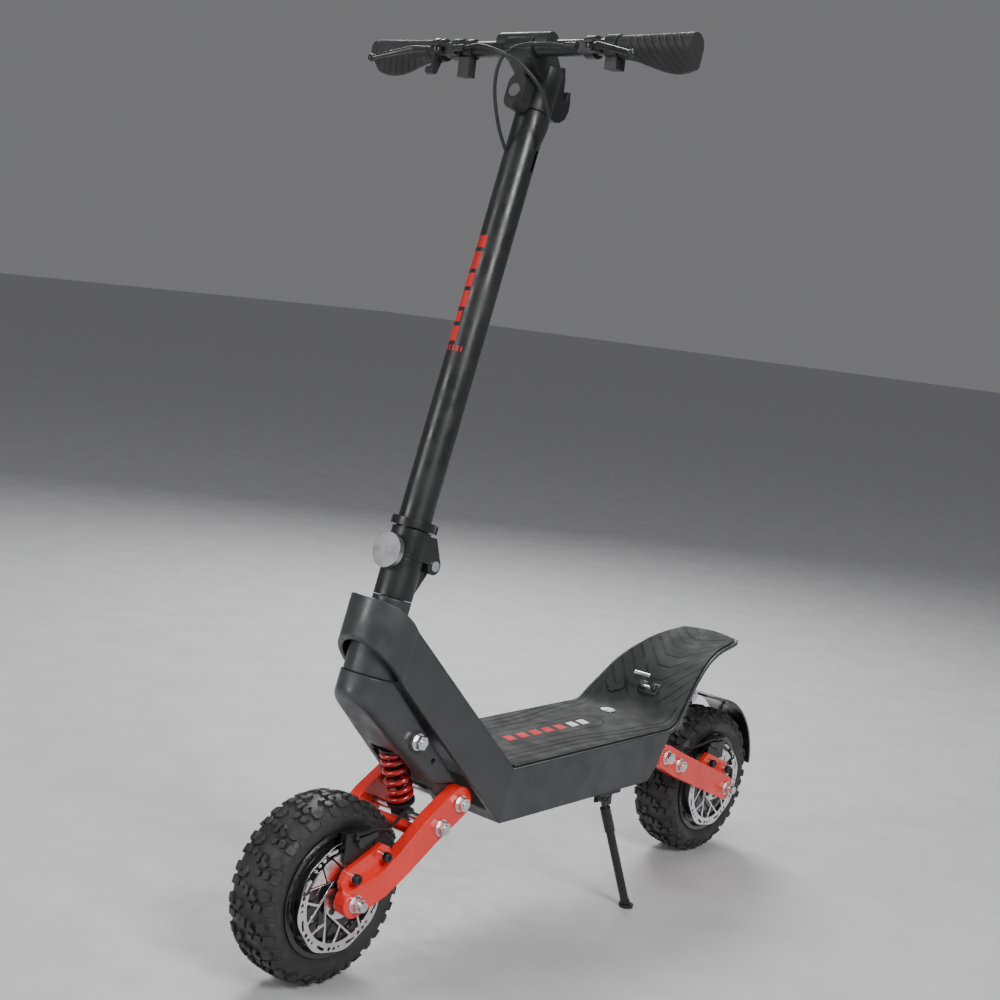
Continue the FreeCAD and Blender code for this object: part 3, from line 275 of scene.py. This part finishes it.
def tyre_rubber():
    finish = Finish("tyre_tread_rubber", (0.021, 0.021, 0.022), 0.55)
    finish.raise_by(finish.noise(150.0, 4.0), 0.00022)
    finish.raise_by(finish.noise(700.0, 2.0), 0.00006)
    finish.mix(finish.noise(40.0, 5.0).step(0.52, 0.72) * 0.45, (0.075, 0.073, 0.07))
    # The knob edges get a lighter grey as a painted highlight.
    return finish.done(spread=0.5, rough_spread=0.14, soften=0.0009, edge_highlight=0.8,
                       edge_highlight_colour=(0.10, 0.098, 0.095))


def grip_rubber():
    finish = Finish("grip_ribbed_rubber", (0.022, 0.022, 0.023), 0.62)
    y, z = finish.xyz()[1:]
    slanted = y.abs() * 0.75 + z * 0.55
    rib = (slanted + finish.noise(12.0) * 0.002).fold(0.009) / 0.0045
    band = y.abs().step(0.186, 0.192) * y.abs().step(0.283, 0.279)
    groove = rib.step(0.62, 0.92) * band
    finish.raise_by(groove, -0.0009)
    finish.raise_by(finish.noise(500.0), 0.00008)
    # Painted shade: the grooves are painted darker than the rubber around them.
    finish.mix(groove * 0.7, (0.008, 0.008, 0.008))
    return finish.done(spread=0.35, soften=0.002, edge_highlight=0.4)


def mat_rubber():
    """Deck mat: long wavy grooves, an oval panel outline and chevrons up the tail."""
    finish = Finish("mat_grooved_rubber", (0.019, 0.0195, 0.02), 0.82)
    x, y = finish.xyz()[:2]
    side = y.abs()
    on_deck = x.step(-0.262, -0.252)
    sweep = x.step(0.02, -0.17) * 0.020 + x.step(-0.17, -0.25) * 0.012
    warped = side - sweep
    lines = (warped - 0.047).fold(0.0150).step(0.0038, 0.0018)
    in_band = warped.step(0.044, 0.046) * warped.step(0.083, 0.081) * side.step(0.0925, 0.0905)
    border = (side - 0.0945).abs().step(0.0030, 0.0016)
    past_ends = ((x + 0.004).abs() - 0.112).max(0.0)
    reach = (past_ends * past_ends + side * side).op("SQRT")
    panel = (reach - 0.028).abs().step(0.0024, 0.0013)
    deck = (lines * in_band).max(border).max(panel) * on_deck

    apex = side.max(0.013)
    climb = x * -1.41 - apex * 1.15
    arms = (climb - 0.004).fold(0.034).step(0.0044, 0.0026)
    gaps = (side + x * 0.35).fold(0.075).step(0.003, 0.0055)
    inside = side.step(0.088, 0.084)
    tail = arms * inside * gaps * x.step(-0.266, -0.272)
    groove = deck.max(tail)
    finish.raise_by(groove, -0.0016)
    finish.raise_by(finish.noise(420.0, 3.0), 0.00012)
    # Painted shade: the grooves and chevrons are painted near black.
    finish.mix(groove, (0.003, 0.003, 0.003))
    return finish.done(spread=0.2, rough_spread=0.08, soften=0.0012, edge_highlight=0.35)


def clear_lens():
    finish = Finish("lens_clear", (0.20, 0.21, 0.22), 0.12, coat=1.0)
    y, z = finish.xyz()[1:]
    finish.raise_by(y.fold(0.004) / 0.004 + z.fold(0.004) / 0.004, 0.0003)
    finish.shader.inputs["Transmission Weight"].default_value = 0.35
    return finish.done(spread=0.05, rough_spread=0.05, soften=0.0008)


RED = (0.84, 0.022, 0.012)
FINISHES = {
    "frame_paint": textured_paint("frame_dark_grey_paint", (0.043, 0.044, 0.046), 0.40, 900.0, 0.00005,
                                  soften=0.004, edge_highlight=0.35),
    "stem_paint": textured_paint("stem_black_paint", (0.017, 0.0175, 0.018), 0.36, 750.0, 0.00007,
                                 soften=0.002, edge_highlight=0.4),
    "black_steel": textured_paint("black_coated_steel", (0.013, 0.013, 0.014), 0.34, 420.0, 0.00004,
                                  edge_highlight=0.6),
    "red_paint": textured_paint("arm_red_paint", RED, 0.30, 160.0, 0.00003, coat=0.55, soften=0.0025,
                                edge_highlight=0.25),
    "spring_paint": textured_paint("spring_red_paint", (0.42, 0.008, 0.012), 0.22, 120.0, 0.00003, coat=0.9,
                                   edge_highlight=0.5),
    "hub_paint": textured_paint("hub_gloss_black", (0.011, 0.011, 0.012), 0.2, 90.0, 0.00004, coat=0.6,
                                edge_highlight=0.5),
    "lever_paint": textured_paint("lever_black_paint", (0.02, 0.02, 0.021), 0.3, 500.0, 0.00003, edge_highlight=0.7),
    "fender_plastic": plastic("fender_gloss_plastic", (0.011, 0.011, 0.012), 0.16, 60.0, 0.00005, coat=0.5),
    "cover_plastic": plastic("cover_moulded_plastic", (0.019, 0.019, 0.02), 0.44, 420.0, 0.00006),
    "port_plastic": plastic("port_moulded_plastic", (0.018, 0.018, 0.018), 0.5),
    "button_plastic": plastic("button_red_plastic", (0.5, 0.02, 0.02), 0.35),
    "battery_shell": plastic("battery_wrap", (0.03, 0.08, 0.2), 0.35),
    "cable_rubber": plastic("cable_sheath", (0.014, 0.014, 0.015), 0.42, 600.0, 0.00003),
    "controller_shell": bright_metal("controller_cast_metal", (0.42, 0.43, 0.44), 0.5, (1, 1, 1), 0.00008),
    "bearing_steel": bright_metal("bearing_ground_steel", (0.6, 0.6, 0.61), 0.25, (1, 1, 6)),
    "lock_steel": bright_metal("lock_bright_metal", (0.66, 0.66, 0.67), 0.3, (1, 5, 1)),
    "zinc_fasteners": bright_metal("zinc_plated_steel", (0.72, 0.73, 0.74), 0.28, (1, 1, 1), 0.00004),
    "stator_iron": bright_metal("stator_laminations", (0.2, 0.19, 0.18), 0.55, (1, 8, 1), 0.0001),
    "knob_steel": turned_metal("knob_turned_steel", (0.42, 0.42, 0.43), 0.34, stem_at(35, 0, 304),
                               (STEERING_RISE, 0.0, STEERING_RAKE), 0.0016),
    "disc_steel": bright_metal("disc_ground_steel", (0.78, 0.78, 0.79), 0.3, (1, 0.2, 1), 0.00003),
    "tyre_rubber": tyre_rubber(),
    "grip_rubber": grip_rubber(),
    "mat_rubber": mat_rubber(),
    "lens_glass": clear_lens(),
}


def paint_cad_nodes():
    """Give each CAD node the finish of its slot in the record."""
    slots = {part["node"]: part["material_slot"] for part in frame["record"]["subparts"]}
    for name, node in frame["nodes"].items():
        node.data.materials.clear()
        node.data.materials.append(FINISHES[slots[name]])


def piece(name, mesh, body, slot_name, finish=None):
    """Show a mesh as a piece that rides on a body."""
    mesh.materials.append(finish or FINISHES[slot_name])
    thing = bpy.data.objects.new(name, mesh)
    bpy.context.scene.collection.objects.link(thing)
    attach(thing, body)
    return thing


# ---------------------------------------------------------------- tyres

# Half of the tyre's outer section from the crown to the bead: sideways from the middle, and radius.
CARCASS = [(0, 127.4), (12, 127.2), (22, 126.2), (30, 124.0), (36, 120.3), (39.3, 115.5), (40.6, 110.0),
           (40.2, 103.0), (38.0, 97.0), (35.5, 92.5), (34.0, 90.5)]
BEAD = (34.0, 84.3)
AROUND_STEPS = 144


def profile_lengths():
    total = [0.0]
    for (y0, r0), (y1, r1) in zip(CARCASS, CARCASS[1:]):
        total.append(total[-1] + math.hypot(y1 - y0, r1 - r0))
    return total


LENGTHS = profile_lengths()


def on_profile(t):
    """Point and outward direction on the tyre's section, t mm from the crown's middle."""
    sign = -1 if t < 0 else 1
    t = min(abs(t), LENGTHS[-1] - 0.01)
    i = max(k for k in range(len(LENGTHS) - 1) if LENGTHS[k] <= t)
    share = (t - LENGTHS[i]) / (LENGTHS[i + 1] - LENGTHS[i])
    (y0, r0), (y1, r1) = CARCASS[i], CARCASS[i + 1]
    normals = []
    for k in (i, min(i + 1, len(CARCASS) - 2)):
        (ya, ra), (yb, rb) = CARCASS[k], CARCASS[k + 1]
        size = math.hypot(yb - ya, rb - ra)
        normals.append((-(rb - ra) / size, (yb - ya) / size))
    ny = normals[0][0] + (normals[1][0] - normals[0][0]) * share
    nr = normals[0][1] + (normals[1][1] - normals[0][1]) * share
    if abs(t) < 0.5:
        ny, nr = 0.0, 1.0
    return sign * (y0 + (y1 - y0) * share), r0 + (r1 - r0) * share, sign * ny, nr


def tread_point(centre_x, around, t, height):
    """Point over the carcass: around is millimetres of crown from the top, height above it."""
    y, r, ny, nr = on_profile(t)
    angle = around / TYRE_R
    radius = min(r + nr * height, TYRE_R - 0.15)
    y = y + ny * height
    return at(centre_x + radius * math.sin(angle), y, TYRE_R + radius * math.cos(angle))


def add_block(mesh, centre_x, around, outline, height, draft=0.86):
    """Raised rubber block with sloping sides, from an outline of (around, across) points."""
    mid_a = sum(a for a, t in outline) / len(outline)
    mid_t = sum(t for a, t in outline) / len(outline)
    rings = []
    for scale, level in ((1.08, -0.9), (1.0, height * 0.72), (draft, height)):
        ring = []
        for a, t in outline:
            a_now = around + mid_a + (a - mid_a) * scale
            t_now = mid_t + (t - mid_t) * scale
            ring.append(mesh.verts.new(tread_point(centre_x, a_now, t_now, level)))
        rings.append(ring)
    count = len(outline)
    for low, high in zip(rings, rings[1:]):
        for i in range(count):
            j = (i + 1) % count
            mesh.faces.new((low[i], low[j], high[j], high[i]))
    mesh.faces.new(rings[-1])


def hexagon(a, t, length, width):
    return [(a - length / 2, t), (a - length / 3.4, t - width / 2), (a + length / 3.4, t - width / 2),
            (a + length / 2, t), (a + length / 3.4, t + width / 2), (a - length / 3.4, t + width / 2)]


# One pitch of tread from the centre outwards: the outline of each block and its height.
PITCHES = 18
BLOCKS = [
    ([(-8, -3.5), (6, -3.5), (9, 0), (6, 3.5), (-8, 3.5), (-5, 0)], 5.2),
    ([(-7, 9), (0, 6), (8, 9), (11, 17), (5, 20), (2, 13), (-5, 14)], 5.2),
    ([(13, 7), (19, 5), (24, 8), (22, 14), (15, 14)], 5.0),
    (hexagon(18, 22.5, 14, 10), 5.0),
    ([(-9, 24), (5, 22.5), (7, 31), (3, 35), (-8, 34)], 5.2),
    ([(12, 31), (25, 30), (27, 38), (24, 42), (14, 42)], 4.6),
    ([(-6, 39), (3, 38), (6, 44), (2, 47), (-5, 46)], 2.6),
    (hexagon(19, 48, 12, 5), 1.4),
]


def tyre_mesh(name, centre_x):
    mesh = bmesh.new()
    section = [(-BEAD[0], BEAD[1])] + [(-y, r) for y, r in reversed(CARCASS[1:])] + CARCASS + [BEAD]
    rings = []
    for k in range(AROUND_STEPS):
        angle = 2 * math.pi * k / AROUND_STEPS
        ring = [mesh.verts.new(at(centre_x + r * math.sin(angle), y, TYRE_R + r * math.cos(angle)))
                for y, r in section]
        rings.append(ring)
    for k in range(AROUND_STEPS):
        here, after = rings[k], rings[(k + 1) % AROUND_STEPS]
        for i in range(len(section)):
            j = (i + 1) % len(section)
            face = mesh.faces.new((here[i], after[i], after[j], here[j]))
            face.smooth = True
    pitch = 2 * math.pi * TYRE_R / PITCHES
    for k in range(PITCHES):
        for side in (1, -1):
            shift = k * pitch + (0 if side > 0 else pitch / 2)
            for number, (outline, height) in enumerate(BLOCKS):
                if number == 0 and side < 0:  # the centre bar already crosses the middle
                    continue
                turned = [(a, side * t) for a, t in outline]
                add_block(mesh, centre_x, shift, turned, height)
    bmesh.ops.recalc_face_normals(mesh, faces=mesh.faces)
    return to_data(name, mesh)


# ---------------------------------------------------------------- brake discs

def flat_plate(name, outlines, thickness, bevel=0.0):
    """Mesh of a flat plate in XY from closed outlines; those inside others are holes."""
    curve = bpy.data.curves.new(name, "CURVE")
    curve.dimensions = "2D"
    curve.fill_mode = "BOTH"
    curve.extrude = thickness / 2 - bevel
    curve.bevel_depth = bevel
    curve.bevel_resolution = 1
    for outline in outlines:
        spline = curve.splines.new("POLY")
        spline.points.add(len(outline) - 1)
        for point, (x, y) in zip(spline.points, outline):
            point.co = (x, y, 0, 1)
        spline.use_cyclic_u = True
    holder = bpy.data.objects.new(name + "_curve", curve)
    bpy.context.scene.collection.objects.link(holder)
    graph = bpy.context.evaluated_depsgraph_get()
    mesh = bpy.data.meshes.new_from_object(holder.evaluated_get(graph))
    bpy.data.objects.remove(holder)
    bpy.data.curves.remove(curve)
    mesh.name = name
    return mesh


def ring_outline(radius, steps=160, wave=0.0, waves=9):
    points = []
    for k in range(steps):
        angle = 2 * math.pi * k / steps
        r = radius - wave * (0.5 - 0.5 * math.cos(waves * angle))
        points.append((r * math.cos(angle), r * math.sin(angle)))
    return points


def polar(r, degrees):
    angle = math.radians(degrees)
    return (r * math.cos(angle), r * math.sin(angle))


def pull_in(outline, margin):
    """The same outline with every side moved inwards by margin."""
    area = sum(x0 * y1 - x1 * y0 for (x0, y0), (x1, y1) in zip(outline, outline[1:] + outline[:1]))
    sense = 1 if area > 0 else -1
    moved = []
    count = len(outline)
    for i in range(count):
        before, here, after = (Vector(outline[j % count]) for j in (i - 1, i, i + 1))
        first = (here - before).normalized()
        second = (after - here).normalized()
        n1 = Vector((-first.y, first.x)) * sense
        n2 = Vector((-second.y, second.x)) * sense
        middle = (n1 + n2).normalized()
        moved.append(tuple(here + middle * (margin / max(0.45, middle.dot(n1)))))
    return moved


ROTOR_UNITS = 8
HUB_R = 29.0
BAND_R = 66.0
SPOKE_LEAN = 56
BRANCH_AT = 27


def rotor_outlines():
    """Wave brake rotor: forked slanted spokes, with slots and round holes in the braking band."""
    outlines = [ring_outline(79.8, 216, 3.0, ROTOR_UNITS), ring_outline(18.2, 60)]
    unit = 360.0 / ROTOR_UNITS
    for k in range(ROTOR_UNITS):
        turn = unit * k
        foot, tip = Vector(polar(HUB_R, turn)), Vector(polar(BAND_R, turn + SPOKE_LEAN))
        fork_at = foot + (tip - foot) * 0.45
        branch = turn + BRANCH_AT
        outer = [tuple(fork_at)]
        outer += [polar(BAND_R, branch + (turn + SPOKE_LEAN - branch) * j / 5) for j in range(6)]
        last_tip = turn + SPOKE_LEAN - unit
        inner = [polar(HUB_R, turn - unit * j / 4) for j in range(5)]
        inner += [polar(BAND_R, last_tip + (branch - last_tip) * j / 3) for j in range(4)]
        inner.append(tuple(fork_at))
        outlines += [pull_in(outer, 1.5), pull_in(inner, 1.5)]
        slot = ((69.5, 2), (73.5, 1), (75.0, 8), (75.5, 14), (72.0, 15), (70.5, 8))
        outlines.append([polar(r, turn + degrees) for r, degrees in slot])
        for degrees, radius, size in ((21.5, 72.5, 3.1), (29, 72.8, 2.8), (36, 72.0, 2.2)):
            cx, cy = polar(radius, turn + degrees)
            outlines.append([(cx + size * math.cos(a), cy + size * math.sin(a))
                             for a in (2 * math.pi * j / 14 for j in range(14))])
    return [[(x * MM, y * MM) for x, y in outline] for outline in outlines]


def upright(mesh, centre, turn):
    """Stand a mesh drawn in XY up in the XZ plane at a centre."""
    mesh.transform(Matrix.Translation(centre) @ Matrix.Rotation(math.radians(-90), 4, "X")
                   @ Matrix.Rotation(math.radians(turn), 4, "Z"))


def make_wheel(end, centre_x):
    """Knobby tyre, wave rotor and the rotor's screws of one wheel."""
    wheel = f"{end}_wheel"
    tyre = piece(f"{end}_knobby_tyre", tyre_mesh(f"{end}_knobby_tyre", centre_x), wheel, "tyre_rubber")
    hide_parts(f"{end}_tyre")
    plate = flat_plate(f"{end}_wave_rotor", rotor_outlines(), DISC_T * MM, 0.2 * MM)
    upright(plate, at(centre_x, DISC_MID, TYRE_R), 12)
    rotor = piece(f"{end}_wave_rotor", plate, wheel, "disc_steel")
    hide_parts(f"{end}_disc")
    screws = bmesh.new()
    for k in range(6):
        x, z = polar(24.0, 60 * k + 15)
        place = Matrix.Translation(at(centre_x + x, 51.3, TYRE_R + z))
        place = place @ Matrix.Rotation(math.radians(90), 4, "X")
        bmesh.ops.create_cone(screws, cap_ends=True, segments=20, radius1=4.2 * MM, radius2=3.7 * MM,
                              depth=1.7 * MM, matrix=place)
    piece(f"{end}_rotor_screws", to_data(f"{end}_rotor_screws", screws), wheel, "black_steel")


# ---------------------------------------------------------------- shocks

def coil_mesh(name, upper, lower, turns=5.5, wire=4.0, radius=16.8):
    """Round-wire coil between the two seats, closed up at its ends."""
    top, end = at(*upper), at(*lower)
    along = (end - top).normalized()
    across = Vector((0, 1, 0))
    third = along.cross(across)
    start = UPPER_SEAT + wire + 0.2
    height = (end - top).length / MM - LOWER_SEAT - wire - 0.2 - start
    steps, sides = int(turns * 40), 16
    mesh = bmesh.new()
    rings = []
    for k in range(steps + 1):
        share = k / steps
        eased = share - 0.035 * math.sin(2 * math.pi * share)
        angle = 2 * math.pi * turns * share
        outward = across * math.cos(angle) + third * math.sin(angle)
        forward = (third * math.cos(angle) - across * math.sin(angle)) * radius
        forward = (forward + along * (height / (2 * math.pi * turns))).normalized()
        up = outward.cross(forward)
        centre = top + along * ((start + height * eased) * MM) + outward * (radius * MM)
        ring = []
        for j in range(sides):
            a = 2 * math.pi * j / sides
            ring.append(mesh.verts.new(centre + (outward * math.cos(a) + up * math.sin(a)) * (wire * MM)))
        rings.append(ring)
    for low, high in zip(rings, rings[1:]):
        for j in range(sides):
            i = (j + 1) % sides
            mesh.faces.new((low[j], low[i], high[i], high[j])).smooth = True
    mesh.faces.new(rings[0])
    mesh.faces.new(rings[-1])
    bmesh.ops.recalc_face_normals(mesh, faces=mesh.faces)
    return to_data(name, mesh), top + along * (UPPER_SEAT * MM), along


def socket_screw(mesh, centre, radius, length):
    """Round-headed screw along Y with a hexagonal socket in its face."""
    rings = []
    for y, r in ((0, radius), (length - 0.8, radius), (length, radius - 0.8),
                 (length, radius * 0.55), (length - 2.2, radius * 0.5)):
        ring = []
        for k in range(24):
            angle = 2 * math.pi * k / 24
            if r < radius * 0.6:
                corner = angle % (math.pi / 3) - math.pi / 6
                r_now = r * math.cos(math.pi / 6) / math.cos(corner)
            else:
                r_now = r
            offset = Vector((r_now * math.cos(angle), y, r_now * math.sin(angle)))
            ring.append(mesh.verts.new(centre + offset * MM))
        rings.append(ring)
    for low, high in zip(rings, rings[1:]):
        for k in range(len(low)):
            j = (k + 1) % len(low)
            mesh.faces.new((low[k], low[j], high[j], high[k]))
    mesh.faces.new(rings[-1])


def make_arm_screws():
    """Black socket screws of the calliper tabs."""
    for end, places in TAB_SCREWS.items():
        screws = bmesh.new()
        for x, z in places:
            socket_screw(screws, at(x, 73.2, z), 7.0, 6.4)
        bmesh.ops.recalc_face_normals(screws, faces=screws.faces)
        piece(f"{end}_tab_screws", to_data(f"{end}_tab_screws", screws), f"{end}_arm", "black_steel")


def make_springs():
    """Coil springs between the shock eyes, each riding on its shock's body."""
    for end, (upper, lower) in SHOCK_EYES.items():
        data, anchor, along = coil_mesh(f"{end}_coil", upper, lower)
        coil = piece(f"{end}_coil", data, f"{end}_shock_body", "spring_paint")
        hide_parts(f"{end}_shock_spring")
        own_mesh(coil)


# ---------------------------------------------------------------- printed marks

def decal_finish(name, base):
    finish = Finish(name, base, 0.8)
    finish.raise_by(finish.noise(900.0), 0.00004)
    return finish.done(spread=0.15, soften=0.0004)


def wrap_patch(mesh, s0, s1, a0, a1):
    """Thin patch on the stem tube between two heights and two angles."""
    steps = 6
    rows = []
    for s in (s0, s1):
        row = []
        for k in range(steps + 1):
            angle = math.radians(a0 + (a1 - a0) * k / steps)
            r = TUBE_R + PRINT_LIFT
            row.append(mesh.verts.new(stem_at(r * math.cos(angle), r * math.sin(angle), s)))
        rows.append(row)
    for k in range(steps):
        mesh.faces.new((rows[0][k], rows[0][k + 1], rows[1][k + 1], rows[1][k])).smooth = True


def make_stem_stripes(red):
    """Plain stripes of different widths up the stem tube, in place of the printed word."""
    stripes = bmesh.new()
    low = 597.0
    for length, edge in ((8, 34), (22, 3), (16, -4), (24, 6), (20, 4), (26, 8), (18, 12)):
        wrap_patch(stripes, low, low + length, -66, edge)
        low += length + 6
    bmesh.ops.recalc_face_normals(stripes, faces=stripes.faces)
    piece("stem_stripes", to_data("stem_stripes", stripes), "stem", "stem_paint", red)


def make_deck_dashes(red, white):
    """Plain slanted dashes along the deck, in place of the printed word."""
    half, lean = 10.0, 5.0
    for name, finish, dashes in (
            ("deck_dashes_red", red, [(560 - 32 * k, 20) for k in range(5)]),
            ("deck_dashes_white", white, [(398, 18), (370, 18)])):
        outlines = []
        for x, length in dashes:
            corners = [(x, -half), (x + lean, half), (x + lean - length, half), (x - length, -half)]
            outlines.append([((cx - ORIGIN_X) * MM, cy * MM) for cx, cy in corners])
        plate = flat_plate(name, outlines, 0.3 * MM)
        plate.transform(Matrix.Translation((0, 0, (DECK_TOP + PRINT_LIFT) * MM)))
        piece(name, plate, "frame", "mat_rubber", finish)


# ---------------------------------------------------------------- studio

def aim(thing, target):
    thing.rotation_euler = (Vector(target) - thing.location).to_track_quat("-Z", "Y").to_euler()


def make_light(name, place, target, power, size):
    data = bpy.data.lights.new(name, "AREA")
    data.shape = "RECTANGLE"
    data.size, data.size_y = size
    data.energy = power
    light = bpy.data.objects.new(name, data)
    bpy.context.scene.collection.objects.link(light)
    light.location = place
    aim(light, target)


def make_studio():
    """Soft even light and a plain pale floor just under the wheels."""
    world = bpy.data.worlds.new("studio")
    world.use_nodes = True
    backdrop = world.node_tree.nodes["Background"]
    backdrop.inputs["Color"].default_value = (0.80, 0.80, 0.82, 1)
    backdrop.inputs["Strength"].default_value = 0.22
    bpy.context.scene.world = world
    make_light("key", (1.2, 3.0, 2.6), (0.1, 0, 0.45), 100, (1.2, 1.2))
    make_light("side", (3.4, -1.2, 1.6), (0.3, 0, 0.5), 52, (0.6, 2.2))
    make_light("rim", (-1.8, -1.8, 2.4), (0, 0, 0.6), 90, (1.4, 1.4))
    make_light("top", (0.0, 0.2, 3.2), (0, 0, 0.4), 24, (2.2, 1.4))

    floor_mesh = bmesh.new()
    bmesh.ops.create_grid(floor_mesh, x_segments=2, y_segments=2, size=40.0)
    data = to_data("floor", floor_mesh)
    finish = Finish("floor_pale", (0.56, 0.56, 0.57), 0.6)
    finish.raise_by(finish.noise(120.0), 0.0001)
    data.materials.append(finish.done(spread=0.06, rough_spread=0.08, soften=0.001, normal=False))
    floor = bpy.data.objects.new("floor", data)
    floor.location = (0, 0, -0.0004)
    bpy.context.scene.collection.objects.link(floor)


CAMERA_AT = (1.91974, 1.44461, 0.96197)
CAMERA_LENS = 55.19


def make_camera():
    """Camera in front and to the left of the scooter, at about bar height and looking down a little."""
    data = bpy.data.cameras.new("camera")
    data.lens = CAMERA_LENS
    data.sensor_width = 36
    data.dof.use_dof = False
    camera = bpy.data.objects.new("camera", data)
    right = Vector((-0.64560, 0.75481, 0.11604))
    up = Vector((-0.02389, -0.17184, 0.98484))
    back = Vector((0.76331, 0.63303, 0.12897))
    turn = Matrix((right, up, back)).transposed().to_4x4()
    camera.matrix_world = Matrix.Translation(CAMERA_AT) @ turn
    bpy.context.scene.collection.objects.link(camera)
    bpy.context.scene.camera = camera


make_camera()
paint_cad_nodes()
for end, centre_x in WHEELS.items():
    make_wheel(end, centre_x)
make_springs()
make_arm_screws()
RED_PRINT = decal_finish("mark_red_print", (0.62, 0.015, 0.015))
WHITE_PRINT = decal_finish("mark_white_print", (0.75, 0.73, 0.72))
make_stem_stripes(RED_PRINT)
make_deck_dashes(RED_PRINT, WHITE_PRINT)
make_studio()
